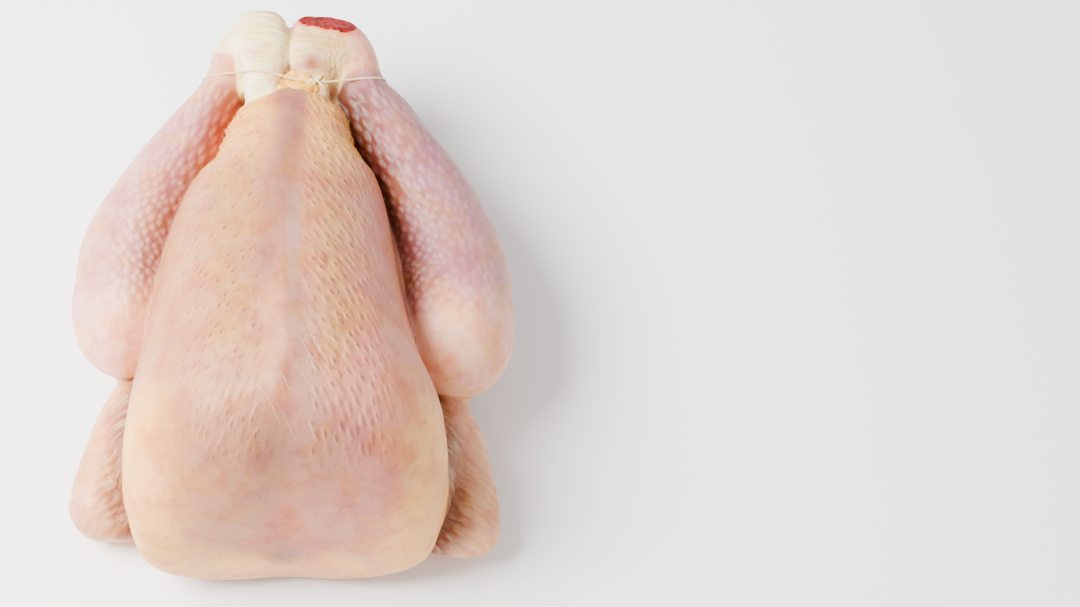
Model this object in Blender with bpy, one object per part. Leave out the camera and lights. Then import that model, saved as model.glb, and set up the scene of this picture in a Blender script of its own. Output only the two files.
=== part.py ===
"""Whole raw turkey lying on its back, breast up, with its hocks tied by a loop of string.

+X is the bird's left-hand side as seen from the neck, +Y runs from the neck to the tail,
+Z is up.  The origin is under the middle of the bounding box, on the table.

The bird is one solid.  Each limb and the trunk is a loft through a few stations, and the
lofts are united, then cut flat on the back where the bird rests.
"""
import math

import bmesh
import bpy
import numpy as np
from mathutils import Vector

MM = 0.001

# ---------------------------------------------------------------- driving sizes (mm)
BIRD_CENTRE = (6.2, -3.85)       # middle of the bird in the station tables' own x and y
LIMB_SIDES = 16                  # facets round a limb
TRUNK_SIDES = 36                 # facets round the trunk
STEPS_PER_SPAN = 2               # rings between two stations
CAP_STEPS = 2                    # rings in a rounded limb end
TRUNK_SIDE_POWER = 0.92          # below 1 makes the trunk's section squarer
TRUNK_TOP_POWER = 0.90
TRUNK_BACK_POWER = 0.72

KEEL_HEIGHT = 3.0                # ridge along the breast bone
KEEL_WIDTH = 9.0
KEEL_FROM, KEEL_TO = -150.0, 130.0
NECK_DIP = 5.0                   # hollow between the breast halves at the neck
NECK_DIP_WIDTH = 14.0
NECK_DIP_FROM = -140.0

STRING_RADIUS = 0.7
STRING_GAP = 0.35                # clear of the skin all the way round
STRING_Y = 137.0                 # where the loop crosses the height STRING_LEVEL
STRING_LEVEL = 105.0
STRING_LEAN = 0.35               # how far the loop's top leans to the neck, per mm of height
STRING_SLAB = 1.5                # half thickness of the slice the loop is laid round
STRING_LOW_LIMIT = 78.0          # the loop passes under the hocks and above the tail
STRING_STEP = 4.6                # spacing of the loop's points
STRING_ROUNDING = 4.0
KNOT_X = 21.0
KNOT_HALF = (4.2, 2.6, 1.7)
KNOT_TAILS = ((7.5, -5.0, 0.4), (8.5, 3.5, 0.2))

# ---------------------------------------------------------------- stations (mm)
# trunk: y, height of the widest line, half width to -x, to +x, rise above, drop below, centre x
TRUNK = [
    (-199, 46, 52, 52, 18, 18, 0),
    (-198, 48, 75, 75, 34, 32, 0),
    (-193, 54, 91, 92, 57, 48, 0),
    (-182, 64, 99, 101, 78, 62, 0),
    (-164, 76, 103.5, 105, 89, 76, 0),
    (-142, 87, 105, 106, 95, 90, 0),
    (-110, 94, 101.5, 101.5, 93, 98, 0),
    (-75, 96, 93, 89, 88, 100, -1),
    (-30, 97, 83.5, 80, 80, 101, -2),
    (10, 96, 77, 75, 72, 98, -2),
    (50, 95, 64, 67, 61, 86, -1),
    (66, 98, 52, 56, 53, 68, 1),
    (80, 102, 46, 46, 44, 46, 2),
    (106, 107, 38, 37, 28, 19, 4),
    (119, 109, 23, 21, 19, 13, 7),
    (132, 112, 3, 3, 4, 4, 10.5),
]
# limbs: x, y, z of the section's centre, half width, half height
ABDOMEN = [(0, 30, 58, 62, 56), (1, 72, 60, 54, 48), (2, 100, 66, 42, 34)]
TAIL = [(0, 92, 46, 42, 34), (2, 128, 46, 28, 22), (4, 150, 50, 21, 14), (4, 164, 53, 15, 9)]

THIGH_L = [(-46, 76, 44, 36, 38), (-72, 34, 48, 42, 40), (-94, -8, 56, 40, 42), (-105, -28, 70, 37, 40)]
THIGH_R = [(46, 70, 44, 36, 38), (74, 24, 48, 42, 40), (103, -22, 56, 40, 42), (115, -42, 70, 37, 40)]
DRUMSTICK_L = [
    (-104, -33, 72, 38, 40),
    (-106, -8, 74, 38.5, 38),
    (-100.5, 18, 77, 37.5, 37),
    (-90, 42, 81, 35, 34),
    (-76, 67, 86, 32.5, 30),
    (-62, 93, 91, 29, 26),
    (-51, 118, 98, 22, 20),
    (-42, 138, 104, 16, 16),
]
DRUMSTICK_R = [
    (116, -47, 71, 38, 40),
    (118, -24, 73, 39, 39),
    (116.5, 2, 76, 38.5, 38),
    (109, 29.5, 80, 36, 35),
    (97, 58, 86, 32.5, 32),
    (81.5, 86, 92, 28, 27),
    (66, 111, 98, 25, 22),
    (54, 133, 104, 17.5, 17),
]
HOCK_L = [(-42, 136, 104, 15.5, 16), (-37, 154, 104, 20, 18), (-29, 166, 104, 22, 18.5)]
HOCK_R = [(52, 131, 104, 16, 17), (47, 151, 105, 21, 19), (39, 167, 104, 22, 19), (27, 174, 104, 18, 17)]
SHANK_L = [
    (-16, 174, 108, 19, 16.5),
    (-14.5, 160, 117, 20, 13.5),
    (-14, 141, 121, 17, 11.5),
    (-15, 120, 117, 13.5, 10.5),
    (-14, 95, 104, 12, 10),
]
SHANK_R = [
    (27, 161, 108, 21, 16.5),
    (25, 149, 116, 22, 13.5),
    (23, 134, 120, 18.5, 11.5),
    (20, 116, 114, 13, 10),
    (14, 94, 102, 11, 10),
]
UPPER_WING_L = [(-82, -150, 58, 26, 26), (-94, -112, 50, 22, 22), (-100, -74, 43, 13, 15)]
UPPER_WING_R = [(84, -156, 58, 26, 26), (98, -118, 50, 22, 22), (108, -88, 44, 13, 15)]
FOREARM_L = [
    (-101, -68, 42, 10, 12),
    (-110, -88, 38, 14.5, 17),
    (-117, -112, 34, 16.5, 19),
    (-122, -134, 30, 18.5, 20),
    (-126, -152, 27, 19, 20),
]
FOREARM_R = [
    (112, -84, 44, 11, 13),
    (119, -106, 39, 15, 17),
    (122.5, -128, 34, 17, 19),
    (124, -150, 30, 18, 20),
    (124, -166, 27, 17.5, 19),
]
WING_SKIN_L = [(-100, -156, 26, 28, 14), (-105, -130, 32, 20, 14), (-104, -98, 38, 11, 12)]
WING_SKIN_R = [(100, -168, 26, 28, 14), (110, -140, 32, 20, 14), (113, -108, 38, 11, 12)]
WING_TIP_L = [(-124, -152, 18, 15, 12), (-102, -150, 12, 17, 9), (-78, -140, 9, 15, 7), (-56, -122, 7, 10, 6)]
WING_TIP_R = [(124, -160, 18, 15, 12), (102, -158, 12, 17, 9), (78, -148, 9, 15, 7), (56, -130, 7, 10, 6)]

LIMBS = {
    "abdomen": ABDOMEN, "tail": TAIL,
    "thigh_l": THIGH_L, "thigh_r": THIGH_R,
    "drumstick_l": DRUMSTICK_L, "drumstick_r": DRUMSTICK_R,
    "hock_l": HOCK_L, "hock_r": HOCK_R,
    "shank_l": SHANK_L, "shank_r": SHANK_R,
    "upper_wing_l": UPPER_WING_L, "upper_wing_r": UPPER_WING_R,
    "forearm_l": FOREARM_L, "forearm_r": FOREARM_R,
    "wing_skin_l": WING_SKIN_L, "wing_skin_r": WING_SKIN_R,
    "wing_tip_l": WING_TIP_L, "wing_tip_r": WING_TIP_R,
}

# ---------------------------------------------------------------- colours
SKIN_COLOUR = (0.66, 0.43, 0.33, 1.0)
SKIN_ROUGHNESS = 0.42
STRING_COLOUR = (0.78, 0.68, 0.50, 1.0)
STRING_ROUGHNESS = 0.85


# ---------------------------------------------------------------- lofting
def smooth_path(stations, steps):
    """Catmull-Rom curve through the stations, every column interpolated alike."""
    rows = np.asarray(stations, float)
    rows = np.vstack([2 * rows[0] - rows[1], rows, 2 * rows[-1] - rows[-2]])
    path = []
    for a, b, c, d in zip(rows, rows[1:], rows[2:], rows[3:]):
        for step in range(steps):
            t = step / steps
            path.append(0.5 * (2 * b + (c - a) * t + (2 * a - 5 * b + 4 * c - d) * t ** 2
                               + (3 * b - a - 3 * c + d) * t ** 3))
    path.append(rows[-2])
    return np.array(path)


def loft(name, rings):
    """A closed mesh object through closed rings of equal point counts, given in mm."""
    mesh_maker = bmesh.new()
    rows = []
    for ring in rings:
        points = (np.asarray(ring) - (BIRD_CENTRE[0], BIRD_CENTRE[1], 0.0)) * MM
        rows.append([mesh_maker.verts.new(point) for point in points])
    for low, high in zip(rows, rows[1:]):
        for i in range(len(low)):
            j = (i + 1) % len(low)
            mesh_maker.faces.new((low[i], low[j], high[j], high[i]))
    mesh_maker.faces.new(rows[0][::-1])
    mesh_maker.faces.new(rows[-1])
    bmesh.ops.triangulate(mesh_maker, faces=mesh_maker.faces)
    bmesh.ops.recalc_face_normals(mesh_maker, faces=mesh_maker.faces)
    mesh = bpy.data.meshes.new(name)
    mesh_maker.to_mesh(mesh)
    mesh_maker.free()
    return bpy.data.objects.new(name, mesh)


def round_angles(count):
    return np.linspace(0.0, 2.0 * math.pi, count, endpoint=False)


def limb(name, stations):
    """A limb of elliptic sections square to its path, with rounded ends."""
    path = smooth_path(stations, STEPS_PER_SPAN)
    centres, halves = path[:, :3], path[:, 3:5]
    along = np.gradient(centres, axis=0)
    along /= np.linalg.norm(along, axis=1)[:, None]
    sections = [(centres[i], along[i], halves[i]) for i in range(len(path))]
    for end, sign in ((0, -1.0), (-1, 1.0)):
        cap = []
        for step in range(1, CAP_STEPS + 1):
            angle = 0.5 * math.pi * step / (CAP_STEPS + 0.35)
            reach = sign * min(halves[end]) * math.sin(angle)
            cap.append((centres[end] + along[end] * reach, along[end], halves[end] * math.cos(angle)))
        sections = cap[::-1] + sections if sign < 0 else sections + cap
    angles = round_angles(LIMB_SIDES)
    rings = []
    for centre, direction, half in sections:
        side = np.cross(direction, (0.0, 0.0, 1.0))
        side /= np.linalg.norm(side)
        up = np.cross(side, direction)
        rings.append(centre + np.outer(np.cos(angles) * half[0], side) + np.outer(np.sin(angles) * half[1], up))
    return loft(name, rings)


def signed_power(values, power):
    return np.sign(values) * np.abs(values) ** power


def trunk():
    """Breast, belly and back: a loft of lopsided ovals, with the keel ridge and the neck dip."""
    angles = round_angles(TRUNK_SIDES)
    across, upward = np.cos(angles), np.sin(angles)
    rings = []
    for y, level, half_l, half_r, rise, drop, centre in smooth_path(TRUNK, STEPS_PER_SPAN):
        offset = np.where(across > 0, half_r, half_l) * signed_power(across, TRUNK_SIDE_POWER)
        top = rise * signed_power(upward, TRUNK_TOP_POWER)
        bottom = drop * signed_power(upward, TRUNK_BACK_POWER)
        height = level + np.where(upward > 0, top, bottom)
        keel = KEEL_HEIGHT * np.clip((y - KEEL_FROM) / 20, 0, 1) * np.clip((KEEL_TO - y) / 40, 0, 1)
        dip = NECK_DIP * np.clip((NECK_DIP_FROM - y) / 30, 0, 1)
        relief = keel * np.exp(-(offset / KEEL_WIDTH) ** 2) - dip * np.exp(-(offset / NECK_DIP_WIDTH) ** 2)
        height += np.where(upward > 0, relief, 0.0)
        rings.append(np.column_stack([centre + offset, np.full_like(offset, y), height]))
    return loft("trunk", rings)


# ---------------------------------------------------------------- solids
def evaluated_mesh(thing):
    graph = bpy.context.evaluated_depsgraph_get()
    return bpy.data.meshes.new_from_object(thing.evaluated_get(graph))


def boolean(target, tool, operation):
    """Apply one exact Boolean to the target and throw the tool away."""
    cut = target.modifiers.new(operation.lower(), "BOOLEAN")
    cut.operation = operation
    cut.solver = "EXACT"
    cut.object = tool
    bpy.context.view_layer.update()
    mesh = evaluated_mesh(target)
    target.modifiers.clear()
    target.data = mesh
    bpy.data.objects.remove(tool)


def clean(target, distance):
    mesh_maker = bmesh.new()
    mesh_maker.from_mesh(target.data)
    bmesh.ops.remove_doubles(mesh_maker, verts=mesh_maker.verts, dist=distance)
    bmesh.ops.dissolve_degenerate(mesh_maker, edges=mesh_maker.edges, dist=distance)
    bmesh.ops.triangulate(mesh_maker, faces=mesh_maker.faces)
    bmesh.ops.recalc_face_normals(mesh_maker, faces=mesh_maker.faces)
    mesh_maker.to_mesh(target.data)
    mesh_maker.free()


def make_bird(parts, cutters):
    bird = trunk()
    bird.name = "turkey"
    parts.objects.link(bird)
    for name, stations in LIMBS.items():
        tool = limb(name, stations)
        cutters.objects.link(tool)
        boolean(bird, tool, "UNION")
    bpy.ops.mesh.primitive_cube_add(size=1.0, location=(0.0, 0.0, -0.05))
    table = bpy.context.active_object
    table.scale = (0.6, 0.6, 0.1)
    boolean(bird, table, "DIFFERENCE")
    clean(bird, 0.00001)
    return bird


# ---------------------------------------------------------------- the string
def slice_points(mesh, offset):
    """Where the mesh's edges cross the loop's leaning plane, as (x, distance up the plane) in mm."""
    lean = math.atan(STRING_LEAN)
    up = np.array((0.0, -math.sin(lean), math.cos(lean)))
    normal = np.array((0.0, math.cos(lean), math.sin(lean)))
    base = np.array((0.0, STRING_Y - BIRD_CENTRE[1], STRING_LEVEL)) + normal * offset
    points = np.array([vertex.co[:] for vertex in mesh.vertices]) / MM
    side = (points - base) @ normal
    found = []
    for edge in mesh.edges:
        a, b = edge.vertices
        if side[a] * side[b] < 0:
            share = side[a] / (side[a] - side[b])
            spot = points[a] + (points[b] - points[a]) * share
            if spot[2] > STRING_LOW_LIMIT:
                found.append((spot[0], (spot - base) @ up))
    return found, base, up


def outer_hull(points):
    """Convex hull, anticlockwise."""
    points = sorted(set(points))

    def half(sequence):
        chain = []
        for point in sequence:
            while len(chain) > 1:
                (ax, ay), (bx, by) = chain[-2], chain[-1]
                if (bx - ax) * (point[1] - ay) - (by - ay) * (point[0] - ax) > 0:
                    break
                chain.pop()
            chain.append(point)
        return chain[:-1]

    return np.array(half(points) + half(points[::-1]))


def string_route(mesh):
    """A taut loop round the hocks: the hull of the slice, moved out by the string's radius and gap."""
    points = []
    for offset in (-STRING_SLAB, 0.0, STRING_SLAB):
        found, base, up = slice_points(mesh, offset)
        points += found
    _, base, up = slice_points(mesh, 0.0)
    hull = outer_hull(points)
    reach = STRING_RADIUS + STRING_GAP
    swelled = []
    for x, y in hull:
        for angle in round_angles(16):
            swelled.append((x + reach * math.cos(angle), y + reach * math.sin(angle)))
    ring = outer_hull(swelled)
    ring = np.vstack([ring, ring[:1]])
    lengths = np.concatenate([[0.0], np.cumsum(np.linalg.norm(np.diff(ring, axis=0), axis=1))])
    count = int(lengths[-1] / STRING_STEP)
    spots = np.linspace(0.0, lengths[-1], count, endpoint=False)
    xs = np.interp(spots, lengths, ring[:, 0])
    ys = np.interp(spots, lengths, ring[:, 1])
    return [base + up * v + np.array((u, 0.0, 0.0)) for u, v in zip(xs, ys)]


def make_string(bird, parts):
    route = string_route(bird.data)
    curve = bpy.data.curves.new("tying_string", "CURVE")
    curve.dimensions = "3D"
    curve.bevel_depth = STRING_RADIUS * MM
    curve.bevel_resolution = 1
    line = curve.splines.new("POLY")
    line.points.add(len(route) - 1)
    for point, spot in zip(line.points, route):
        point.co = (*(spot * MM), 1.0)
    line.use_cyclic_u = True
    loop = bpy.data.objects.new("tying_string_curve", curve)
    parts.objects.link(loop)
    bpy.context.view_layer.update()
    mesh = evaluated_mesh(loop)
    bpy.data.objects.remove(loop)
    string = bpy.data.objects.new("tying_string", mesh)
    parts.objects.link(string)
    top = [spot for spot in route if spot[2] > STRING_LEVEL]
    seat = min(top, key=lambda spot: abs(spot[0] - KNOT_X))
    bpy.ops.mesh.primitive_uv_sphere_add(segments=14, ring_count=8, radius=1.0)
    knot = bpy.context.active_object
    knot.data.transform(knot.matrix_world)
    knot.scale = [half * MM for half in KNOT_HALF]
    lift = KNOT_HALF[2] - STRING_RADIUS
    knot.location = Vector(seat * MM) + Vector((0.0, -STRING_LEAN, 1.0)).normalized() * lift * MM
    boolean(string, knot, "UNION")
    clean(string, 0.00001)
    return string


# ---------------------------------------------------------------- materials
def plain_material(name, colour, roughness):
    material = bpy.data.materials.new(name)
    material.use_nodes = True
    shader = material.node_tree.nodes["Principled BSDF"]
    shader.inputs["Base Color"].default_value = colour
    shader.inputs["Roughness"].default_value = roughness
    shader.inputs["Metallic"].default_value = 0.0
    return material


def dress(thing, material):
    thing.data.materials.clear()
    thing.data.materials.append(material)
    thing.data.shade_smooth()
    thing.data.set_sharp_from_angle(angle=math.radians(50))


def main():
    for thing in list(bpy.data.objects):
        bpy.data.objects.remove(thing)
    parts = bpy.data.collections.new("whole_raw_turkey")
    cutters = bpy.data.collections.new("cutters")
    bpy.context.scene.collection.children.link(parts)
    bpy.context.scene.collection.children.link(cutters)
    bird = make_bird(parts, cutters)
    string = make_string(bird, parts)
    dress(bird, plain_material("raw_skin", SKIN_COLOUR, SKIN_ROUGHNESS))
    dress(string, plain_material("string", STRING_COLOUR, STRING_ROUGHNESS))


main()
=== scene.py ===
"""Looks of a whole raw turkey: skin, tying string, fat, cut flesh and a plain studio."""

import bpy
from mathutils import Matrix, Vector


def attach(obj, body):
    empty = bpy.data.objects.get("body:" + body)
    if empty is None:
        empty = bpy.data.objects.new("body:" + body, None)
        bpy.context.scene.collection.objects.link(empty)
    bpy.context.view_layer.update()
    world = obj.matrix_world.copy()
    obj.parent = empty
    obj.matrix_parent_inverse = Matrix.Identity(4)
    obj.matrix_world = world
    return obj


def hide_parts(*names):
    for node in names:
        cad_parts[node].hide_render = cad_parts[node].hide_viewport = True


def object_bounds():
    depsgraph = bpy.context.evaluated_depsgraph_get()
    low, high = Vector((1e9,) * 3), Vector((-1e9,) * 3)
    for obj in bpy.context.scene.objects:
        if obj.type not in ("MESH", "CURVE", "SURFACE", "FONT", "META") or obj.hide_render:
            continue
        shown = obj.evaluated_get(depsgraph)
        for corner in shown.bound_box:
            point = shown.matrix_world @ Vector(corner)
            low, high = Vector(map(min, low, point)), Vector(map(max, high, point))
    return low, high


bl_info = {
    "name": "Whole Raw Turkey",
    "version": (1, 0, 0),
    "blender": (4, 5, 0),
    "location": "3D View > Sidebar > Turkey",
    "description": "Builds a whole raw turkey with tied hocks, and the studio it lies in",
    "category": "Object",
}

import math

import bpy
import numpy as np
import openvdb
from bpy.props import FloatProperty, FloatVectorProperty, IntProperty, PointerProperty
from mathutils import Quaternion, Vector

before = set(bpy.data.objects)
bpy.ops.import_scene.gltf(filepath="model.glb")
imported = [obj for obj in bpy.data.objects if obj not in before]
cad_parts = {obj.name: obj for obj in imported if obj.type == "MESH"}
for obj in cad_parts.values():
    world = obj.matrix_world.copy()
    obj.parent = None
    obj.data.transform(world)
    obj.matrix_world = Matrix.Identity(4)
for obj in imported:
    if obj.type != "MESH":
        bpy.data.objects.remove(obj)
CAD_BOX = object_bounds()

MM = 0.001


def srgb(red, green, blue):
    """Linear colour from a screen colour given as 0 to 255."""
    return tuple((c / 12.92 if c <= 0.04045 else ((c + 0.055) / 1.055) ** 2.4)
                 for c in (red / 255, green / 255, blue / 255))


# ------------------------------------------------------------------ settings
class SkinSettings(bpy.types.PropertyGroup):
    cell: FloatProperty(name="Cell", description="Edge of the cells the skin is meshed from",
                        default=0.00155, min=0.001, unit="LENGTH")
    face_limit: IntProperty(name="Triangles", description="Most triangles kept in the skin",
                            default=194000, min=10000)
    bump_spacing: FloatProperty(name="Bump spacing", description="Distance between feather bumps on the legs",
                                default=0.0066, unit="LENGTH")
    bump_height: FloatProperty(name="Bump height", description="Rise of a feather bump",
                               default=0.0008, unit="LENGTH")
    pit_spacing: FloatProperty(name="Pit spacing", description="Distance between feather pits on the breast",
                               default=0.006, unit="LENGTH")
    pit_depth: FloatProperty(name="Pit depth", description="Depth of a slanting feather pit",
                             default=0.0001, unit="LENGTH")
    fold_height: FloatProperty(name="Fold height", description="Rise of the loose folds on the wings",
                               default=0.0012, unit="LENGTH")
    ring_height: FloatProperty(name="Ring height", description="Rise of the rings on the shanks",
                               default=0.0006, unit="LENGTH")
    lump_height: FloatProperty(name="Lump height", description="Rise of the broad, soft unevenness",
                               default=0.002, unit="LENGTH")
    moisture: FloatProperty(name="Moisture", description="Strength of the wet coat",
                            default=0.12, subtype="FACTOR")
    roughness: FloatProperty(name="Roughness", description="Roughness of the skin",
                             default=0.5, subtype="FACTOR")


class StringSettings(bpy.types.PropertyGroup):
    radius: FloatProperty(name="Radius", description="Half the string's thickness",
                          default=0.0008, unit="LENGTH")
    strands: IntProperty(name="Strands", description="Strands twisted together", default=3, min=2)
    pitch: FloatProperty(name="Pitch", description="Length of one full twist", default=0.0042, unit="LENGTH")
    colour: FloatVectorProperty(name="Colour", description="Colour of the cotton", subtype="COLOR",
                                default=srgb(230, 200, 142))


class StageSettings(bpy.types.PropertyGroup):
    floor: FloatVectorProperty(name="Floor", description="Colour of the floor", subtype="COLOR",
                               default=(0.97, 0.97, 0.97))
    sky: FloatProperty(name="Sky", description="Strength of the even light all round", default=1.12)
    key: FloatProperty(name="Key", description="Power of the soft light from the left",
                       default=132.0, unit="POWER")
    key_from: FloatVectorProperty(name="Key from", description="Direction that the soft light comes from",
                                  default=(-0.6, -0.05, 0.79))
    camera_distance: FloatProperty(name="Distance", description="Camera to the bird",
                                   default=1.88, unit="LENGTH")
    camera_height: FloatProperty(name="Height", description="Camera's angle above the table",
                                 default=math.radians(62), subtype="ANGLE")


# ------------------------------------------------------------------ the bird's form, in mm
BIRD_CENTRE = np.array((6.2, -3.85, 0.0))   # from the station tables to the frame

# y, height of the widest line, half width to -x, to +x, rise above, drop below, centre x
TRUNK = [
    (-199, 46, 56, 56, 18, 18, 0),
    (-198, 48, 79, 79, 34, 32, 0),
    (-193, 54, 92, 94, 57, 48, 0),
    (-182, 64, 99, 101, 78, 62, 0),
    (-164, 76, 103.5, 105, 89, 76, 0),
    (-142, 87, 105, 106, 95, 90, 0),
    (-110, 94, 101.5, 101.5, 93, 98, 0),
    (-75, 96, 93, 89, 88, 100, -1),
    (-30, 97, 83.5, 80, 80, 101, -2),
    (10, 96, 77, 75, 72, 98, -2),
    (50, 95, 64, 67, 61, 86, -1),
    (66, 98, 52, 56, 53, 68, 1),
    (80, 102, 46, 46, 44, 46, 2),
    (106, 107, 38, 37, 28, 19, 4),
    (119, 109, 23, 21, 19, 13, 7),
    (132, 112, 3, 3, 4, 4, 10.5),
]
# limbs: x, y, z of the section's centre, half width, half height
LIMBS = {
    "abdomen": [(0, 30, 58, 62, 56), (1, 72, 60, 54, 48), (2, 100, 66, 42, 34)],
    "tail": [(0, 92, 46, 42, 34), (2, 128, 46, 28, 22), (4, 150, 50, 21, 14), (4, 164, 53, 15, 9)],
    "thigh_l": [(-46, 76, 44, 36, 38), (-72, 34, 48, 42, 40), (-92, -8, 56, 39, 42), (-102, -28, 70, 35, 40)],
    "thigh_r": [(46, 70, 44, 36, 38), (74, 24, 48, 42, 40), (102, -22, 56, 39, 42), (113, -42, 70, 36, 40)],
    "drumstick_l": [
        (-101, -33, 72, 36, 40), (-104, -8, 74, 37, 38), (-100, 18, 77, 37, 37), (-90, 42, 81, 35, 34),
        (-76, 67, 86, 32.5, 30), (-61.5, 93, 91, 28, 26), (-49, 118, 98, 20, 20), (-40, 138, 104, 14, 15),
    ],
    "drumstick_r": [
        (114, -46, 71, 37, 40), (116, -24, 73, 38, 39), (115.5, 2, 76, 38, 38), (108, 29.5, 80, 35.5, 35),
        (95.5, 58, 86, 31.5, 32), (80, 86, 92, 27, 27), (65, 111, 98, 24.5, 22), (52, 133, 104, 17, 17),
    ],
    "hock_l": [
        (-40, 134, 104, 13.5, 15), (-33.5, 152, 104, 18.5, 18), (-26, 165, 104, 19.5, 18.5),
        (-19, 173, 104, 19, 18),
    ],
    "hock_r": [
        (50, 131, 104, 15.5, 17), (45, 151, 105, 20.5, 19), (37, 167, 104, 21.5, 19), (27, 175, 104, 18, 17),
        (17, 179, 104, 13, 14),
    ],
    "shank_l": [
        (-16.5, 176, 108, 19, 16.5), (-15.8, 160, 117, 18.5, 13.5), (-15.2, 141, 121, 15.5, 11.5),
        (-16, 120, 117, 12, 10.5), (-15, 95, 104, 11, 10),
    ],
    "shank_r": [
        (18, 163, 109, 14.5, 16), (18.5, 151, 116, 15.5, 14), (20, 137, 119, 14, 12),
        (22, 124, 116, 9.5, 10), (20, 106, 106, 8, 9),
    ],
    "knuckle_r": [(35, 163, 109, 14, 15.5), (34, 151, 114, 15.5, 13.5), (28, 138, 115, 11, 11)],
    "web_l": [(-30, 96, 82, 14, 16), (-32, 116, 90, 11, 13)],
    "web_r": [(35, 92, 86, 16, 16), (37, 113, 95, 14, 14), (37, 128, 99, 8, 11)],
    "join": [(3, 98, 94, 12, 9), (4, 124, 106, 9, 9), (1, 150, 106, 8, 11), (-1, 169, 104, 9, 12)],
    "upper_wing_l": [(-82, -150, 58, 26, 26), (-94, -112, 50, 22, 22), (-100, -74, 43, 13, 15)],
    "upper_wing_r": [(84, -156, 58, 26, 26), (98, -118, 50, 22, 22), (108, -88, 44, 13, 15)],
    "forearm_l": [
        (-101, -68, 42, 10, 12), (-110, -88, 38, 14.5, 17), (-117, -112, 34, 16.5, 19),
        (-122, -133, 30, 18.5, 20), (-125, -149, 27, 18.5, 19),
    ],
    "forearm_r": [
        (112, -84, 44, 11, 13), (119, -106, 39, 15, 17), (122.5, -128, 34, 17, 19),
        (125, -150, 30, 18.5, 20), (125.5, -167, 27, 18.5, 19),
    ],
    "wing_skin_l": [(-100, -156, 26, 28, 14), (-105, -130, 32, 20, 14), (-104, -98, 38, 11, 12)],
    "wing_skin_r": [(100, -168, 26, 28, 14), (110, -140, 32, 20, 14), (113, -108, 38, 11, 12)],
    "wing_tip_l": [(-124, -152, 18, 15, 12), (-102, -150, 12, 17, 9),
                   (-78, -140, 9, 15, 7), (-56, -122, 7, 10, 6)],
    "wing_tip_r": [(124, -160, 18, 15, 12), (102, -158, 12, 17, 9),
                   (78, -148, 9, 15, 7), (56, -130, 7, 10, 6)],
}
CUT_POINT, CUT_NORMAL = (27, 185.5, 113), (0.05, 0.58, 0.813)   # where the right hock is cut across
TRUNK_SIDES = 128
LIMB_SIDES = 48
STEPS_PER_SPAN = 6
TRUNK_STEPS = 14
CAP_STEPS = 6
TRUNK_SIDE_POWER = 0.92
TRUNK_TOP_POWER = 0.90
TRUNK_BACK_POWER = 0.72
KEEL_HEIGHT, KEEL_WIDTH = 3.0, 9.0
KEEL_FROM, KEEL_TO = -150.0, 130.0
NECK_DIP, NECK_DIP_WIDTH, NECK_DIP_FROM = 5.0, 14.0, -140.0
NECK_HOLLOW, NECK_HOLLOW_WIDTH = 3.5, 30.0   # how far the middle of the neck end is drawn in
FRILL = 1.0                                  # depth of the scallops along the belly flap's edge
WIDE_CELL, WIDE_BAND = 0.004, 24             # the coarser grid that tells far regions apart
SHANK_POWER = 0.78                           # under 1 for squarer sections


def smooth_path(stations, steps):
    """Catmull-Rom curve through the stations, every column interpolated alike."""
    rows = np.asarray(stations, float)
    rows = np.vstack([2 * rows[0] - rows[1], rows, 2 * rows[-1] - rows[-2]])
    path = []
    for a, b, c, d in zip(rows, rows[1:], rows[2:], rows[3:]):
        for step in range(steps):
            t = step / steps
            path.append(0.5 * (2 * b + (c - a) * t + (2 * a - 5 * b + 4 * c - d) * t ** 2
                               + (3 * b - a - 3 * c + d) * t ** 3))
    path.append(rows[-2])
    return np.array(path)


def round_angles(count):
    return np.linspace(0.0, 2.0 * math.pi, count, endpoint=False)


def signed_power(values, power):
    return np.sign(values) * np.abs(values) ** power


def limb_frames(path):
    """Direction, side and up vectors along a limb's path."""
    along = np.gradient(path[:, :3], axis=0)
    along /= np.linalg.norm(along, axis=1)[:, None]
    side = np.cross(along, (0.0, 0.0, 1.0))
    side /= np.linalg.norm(side, axis=1)[:, None]
    return along, side, np.cross(side, along)


def limb_rings(stations, power=1.0):
    """Rounded rings square to the limb's path, closing down at both ends."""
    path = smooth_path(stations, STEPS_PER_SPAN)
    along, side, up = limb_frames(path)
    sections = [(path[i, :3], side[i], up[i], path[i, 3:5]) for i in range(len(path))]
    for end, sign in ((0, -1.0), (-1, 1.0)):
        cap = []
        for step in range(1, CAP_STEPS + 1):
            angle = 0.5 * math.pi * step / (CAP_STEPS + 0.35)
            reach = sign * min(path[end, 3:5]) * math.sin(angle)
            centre = path[end, :3] + along[end] * reach
            cap.append((centre, side[end], up[end], path[end, 3:5] * math.cos(angle)))
        sections = cap[::-1] + sections if sign < 0 else sections + cap
    angles = round_angles(LIMB_SIDES)
    wide, high = signed_power(np.cos(angles), power), signed_power(np.sin(angles), power)
    return np.array([c + np.outer(wide * h[0], s) + np.outer(high * h[1], u) for c, s, u, h in sections])


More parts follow.
